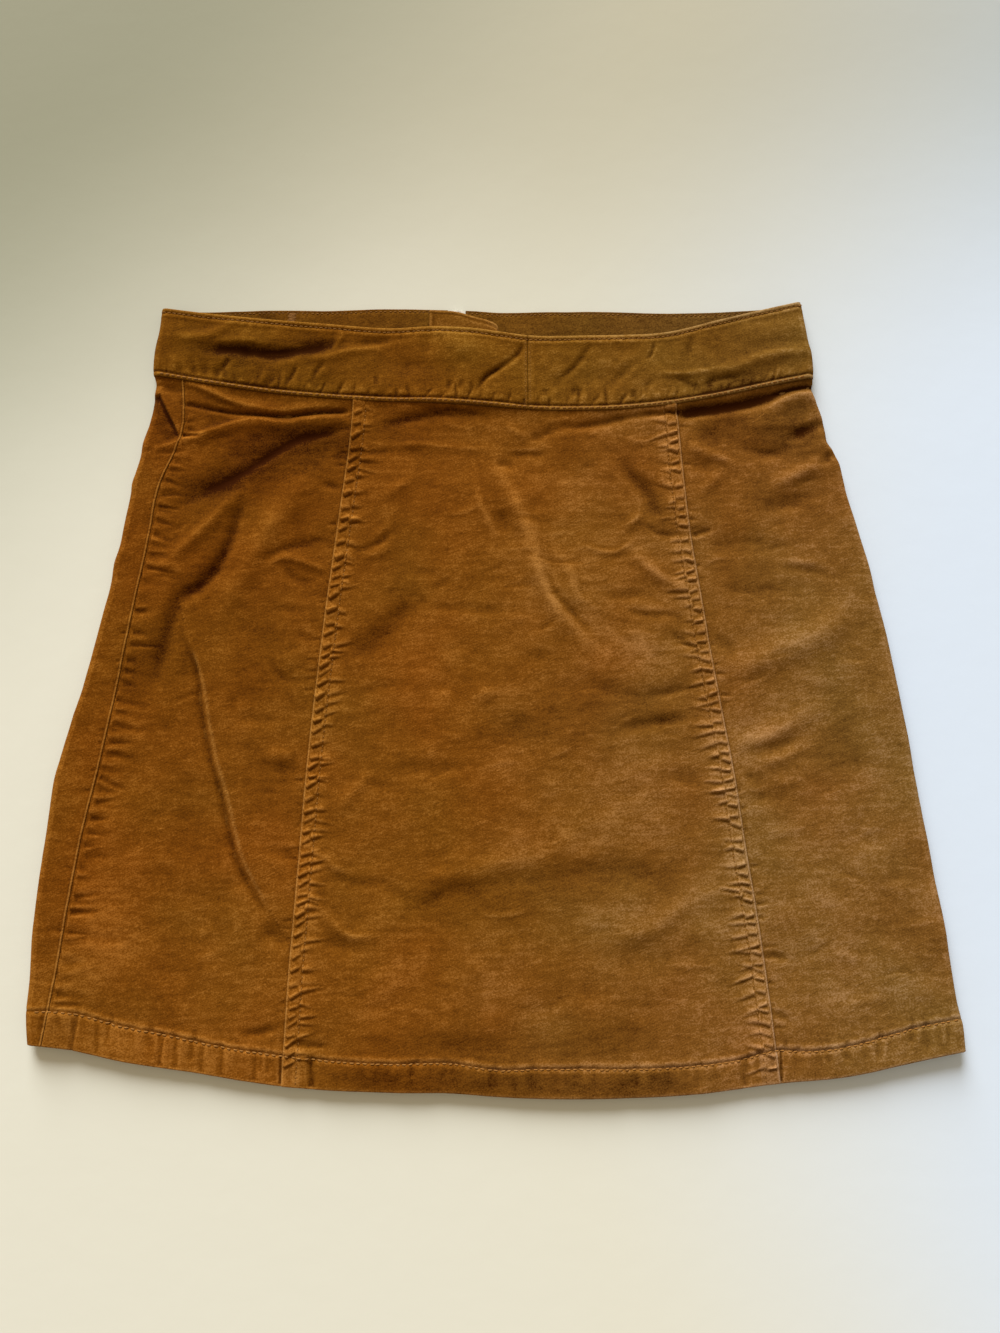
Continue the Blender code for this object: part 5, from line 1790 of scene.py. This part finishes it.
def brushed_cotton(name, brightness=0.0, inner=0.16, seed=0.0, tint=(1, 1, 1)):
    """The skirt's cloth. brightness shifts it, inner is how much darker its inner face is."""
    material, shader, place = new_finish(name, 0.92, 0.0, 0.06)
    shader.inputs["Specular IOR Level"].default_value = 0.02
    shader.inputs["Sheen Tint"].default_value = (1.0, 0.58, 0.15, 1)
    offset = (seed, seed * 1.7, 0)
    slow = place.noise(22, 2.0, 0.5, offset=offset) - 0.5
    blotch = place.noise(75, 3.0, 0.55, offset=offset) - 0.5
    patch = place.noise(260, 3.0, 0.6, offset=offset) - 0.5
    weft = place.noise(1.0, 3.0, 0.55, stretch=(75, 430, 150), offset=offset) - 0.5
    grain = place.noise(1250, 2.5, 0.65) - 0.5
    rib = place.turned(RIB_ANGLE).noise(1.0, 1.0, 0.5, stretch=(170, 1500, 300)) - 0.5
    crest, wear, tone, inside = (place.kept(number) for number in ("crest", "wear", "tone", "inside"))
    nap = slow * 0.30 + blotch * 0.30 + patch * 0.35 + grain * 1.0 + rib * 0.20 + weft * 0.45
    # crest and tone paint light on crests and shade in troughs, seam grooves and under the band, besides
    # rubbed and turned nap.
    light = 0.49 + brightness + nap * 0.82 + crest * 0.17 + tone - inside * inner
    colour = light.clipped().ramp((0.0, DEEP), (0.5, PLAIN), (1.0, PALE))
    warm = (0.5 + (place.noise(14, 2.0, 0.5, offset=(4, 4, 0)) - 0.5) * 2.6).clipped()
    colour = colour.times(warm.ramp((0.0, OLIVE_HUE), (1.0, RED_HUE)))
    worn = (wear * (0.45 + grain * 1.4 + patch * 1.0)).clipped()
    colour = colour.mixed((*WORN, 1), worn)
    across, upward = place.part(0), place.part(1)
    # Painted light and shade: cool window light towards the lower right, shade towards the upper left.
    painted_cool_light_share = (across - upward * 0.2 + slow * 0.10).rise(-0.04, 0.24)
    painted_upper_shade_share = (upward * 0.55 - across + slow * 0.08).rise(0.02, 0.22)
    colour = colour.times(PAINTED_COOL_LIGHT, painted_cool_light_share).times(PAINTED_UPPER_SHADE, painted_upper_shade_share).times(LINING, inside).times(tint)
    paint(shader, "Base Color", colour)
    paint(shader, "Roughness", 0.92 - wear * 0.08)
    paint(shader, "Normal", (grain * 0.6 + patch * 0.5 + rib * 0.5).bump(0.5, 0.0005))
    return material


panel_cloth = brushed_cotton("brushed_cotton")
band_cloth = brushed_cotton("waistband_cotton", -0.05, 0.12, 3.0, (0.98, 1.13, 1.12))
guard_cloth = brushed_cotton("zip_guard_cotton", -0.06, 0.1, 5.0, (0.95, 1.08, 1.4))

# %% [markdown]
# ## Thread, tape and metal
#
# The small things need a finish too, at their own scale. Thread is twisted, so a fine ripple slants round
# it. Tape is woven, so two ripples cross. The slider is cast and brushed, and handling has dulled it in
# patches. Each is a stretched noise and a ramp, because nothing larger shows at this size.

# %% Thread, tape and metal
def thread_finish():
    """Tan cotton thread, twisted: a fine slanting ripple along it."""
    material, shader, place = new_finish("tan_thread", 0.75)
    shader.inputs["Specular IOR Level"].default_value = 0.1
    twist = place.turned(0.7).noise(1.0, 1.0, 0.5, stretch=(5200, 900, 900)) - 0.5
    shade = (0.5 + twist * 1.4 + (place.noise(300, 2.0) - 0.5) * 0.6).clipped()
    paint(shader, "Base Color", shade.ramp((0.0, (0.13, 0.053, 0.009)), (1.0, (0.34, 0.165, 0.042))))
    return material


def tape_finish():
    """Woven tape: two crossed fine ripples."""
    material, shader, place = new_finish("zip_tape", 0.8, 0.0, 0.1)
    warp = place.noise(1.0, 0.0, 0.5, stretch=(2600, 500, 500)) - 0.5
    weft = place.noise(1.0, 0.0, 0.5, stretch=(500, 2600, 500)) - 0.5
    shade = (0.5 + (warp + weft) * 0.9).clipped()
    paint(shader, "Base Color", shade.ramp((0.0, (0.07, 0.026, 0.006)), (1.0, (0.19, 0.085, 0.024))))
    paint(shader, "Normal", (warp + weft).bump(0.6, 0.0002))
    return material


def metal_finish():
    """Satin zip metal: fine brushing, duller in patches where it was handled."""
    material, shader, place = new_finish("zip_metal", 0.35, 1.0)
    brushing = place.noise(1.0, 2.0, 0.6, stretch=(300, 5000, 300)) - 0.5
    patches = place.noise(420, 3.0, 0.6)
    shade = (patches + brushing * 0.4).clipped()
    paint(shader, "Base Color", shade.ramp((0.2, (0.36, 0.33, 0.29)), (0.8, (0.66, 0.63, 0.57))))
    paint(shader, "Roughness", (0.28 + patches * 0.25 + brushing * 0.1).clipped())
    return material


tan_thread, woven_tape, zip_metal = thread_finish(), tape_finish(), metal_finish()

# %% [markdown]
# ## Which piece stands for which node
#
# Each piece of cloth replaces its plain solid in the frame, and rides on the skirt's body. The zip's
# slider and its pull keep the frame's own shape and only get their metal. The flat area of every piece of
# cloth is also worked out: its own area and 4% more for the fullness that thread and washing have
# gathered into small wrinkles, at most the rectangle that it fits in when it is flat.

# %% Dress the pieces
CLOTH_PIECES = (
    (front_centre, "front_centre", "brushed_cotton", panel_cloth),
    (front_left, "front_left", "brushed_cotton", panel_cloth),
    (front_right, "front_right", "brushed_cotton", panel_cloth),
    (back_left, "back_left", "brushed_cotton", panel_cloth),
    (back_right, "back_right", "brushed_cotton", panel_cloth),
    (band_pieces["left_band"], "band_left", "waistband_cotton", band_cloth),
    (band_pieces["right_band"], "band_right", "waistband_cotton", band_cloth),
    (zip_guard, "underlap_tab", "waistband_cotton", guard_cloth),
    (zip_tape, "zip_chain", "zip_tape", woven_tape),
)
for piece, node, slot, finish in CLOTH_PIECES:
    piece.data.materials.append(finish)
    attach(piece, "skirt")
    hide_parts(node)
threads = [*princess_rows, hem_stitches, foot_stitches, rim_stitches, *join_rows, lining_stitches, bar_tack]
for row in threads:
    row.data.materials.append(tan_thread)
    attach(row, "skirt")
zip_teeth.data.materials.append(zip_metal)
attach(zip_teeth, "skirt")
for node in ("zip_slider", "zip_pull"):
    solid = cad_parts[node]
    for slot in solid.material_slots:
        slot.material = zip_metal
print(len(threads), "rows of thread")

FULLNESS = 1.04
CUTS = (
    (front_centre, (0.252, 0.372), ["right_back", "left_back"], princess_rows),
    (front_left, (0.134, 0.370), ["left_back"], []),
    (front_right, (0.145, 0.370), ["right_back"], []),
    (back_left, (0.250, 0.365), [], []),
    (back_right, (0.240, 0.365), [], []),
    (band_pieces["left_band"], (0.400, 0.055), [], [lining_stitches]),
    (band_pieces["right_band"], (0.380, 0.060), [], []),
    (zip_guard, (0.040, 0.042), [], []),
)
for piece, flat, rests_on, with_pieces in CUTS:
    area = min(cut_areas[piece.name] * FULLNESS, flat[0] * flat[1])
print("outer faces of all the cloth:", round(sum(cut_areas.values()), 3), "square metres")

# %% [markdown]
# ## Table, light and air
#
# The skirt lies on a plain pale board. One broad low light comes from beyond the waist, a little from the
# left, so that each crease has a lit side and a shaded one, and the hem throws a short soft shadow. A sun
# lamp with a wide angle does that from any distance, and an area lamp would fade across the board. A warm
# sky lifts the shadows. The board's finish paints more light on it: warm light at the left, cool light at
# the right, and painted shade beyond the waist and in the far left corner.

# %% The table
# Painted light on the board: warm white at the left, cool white at the right, and painted shade far beyond
# the waist.
WARM_WHITE, COOL_WHITE = (0.635, 0.655, 0.60), (0.58, 0.70, 0.89)
FAR_SHADE, CORNER_SHADE = (0.685, 0.665, 0.59), (0.60, 0.625, 0.57)


def board_finish():
    """Matt off-white board with painted light: warm at the left, cool at the right, and painted shade beyond
    the waist and in its far left corner.
    """
    material, shader, place = new_finish("pale_board", 0.85)
    across, upward = place.part(0), place.part(1)
    cloud = place.noise(5, 2.0) - 0.5
    from_middle = upward.maths("ABSOLUTE", upward, 0.0)
    board_painted_cool_light = (across + cloud * 0.05 - from_middle * 0.35).rise(-0.06, 0.23)
    far = (upward - across * 0.12 + cloud * 0.04).rise(0.11, 0.35)
    corner = (upward - across * 1.2 + cloud * 0.04).rise(0.25, 0.62)
    colour = board_painted_cool_light.ramp((0, WARM_WHITE), (1, COOL_WHITE)).times(FAR_SHADE, far).times(CORNER_SHADE, corner)
    paint(shader, "Base Color", colour)
    paint(shader, "Normal", place.noise(60, 4.0).bump(0.1, 0.001))
    return material


bpy.ops.mesh.primitive_plane_add(size=6, location=(0, 0, -0.0002))
board = bpy.context.object
board.name = "pale_board"
board.data.materials.append(board_finish())

# %% The lights
LIGHT_HEIGHT = 24  # degrees of the main light above the table
LIGHT_TURN = 12  # degrees that it stands to the left of straight behind the waist
LIGHT_WIDTH = 36  # degrees that it takes up in the sky, which makes its shadows soft
window_light = bpy.data.lights.new("window", "SUN")
window_light.energy = 5.8
window_light.angle = np.radians(LIGHT_WIDTH)
window_light.color = (1.0, 0.985, 0.955)
window = bpy.data.objects.new("window", window_light)
window.rotation_euler = (-np.radians(90 - LIGHT_HEIGHT), 0, np.radians(LIGHT_TURN))
bpy.context.collection.objects.link(window)
world = bpy.data.worlds.new("air")
bpy.context.scene.world = world
world.use_nodes = True
sky = world.node_tree.nodes["Background"]
sky.inputs["Color"].default_value = (1.0, 0.80, 0.54, 1)
sky.inputs["Strength"].default_value = 0.52
bpy.context.scene.view_settings.view_transform = "Standard"
print("a soft light", LIGHT_HEIGHT, "degrees above the table, and a warm sky")
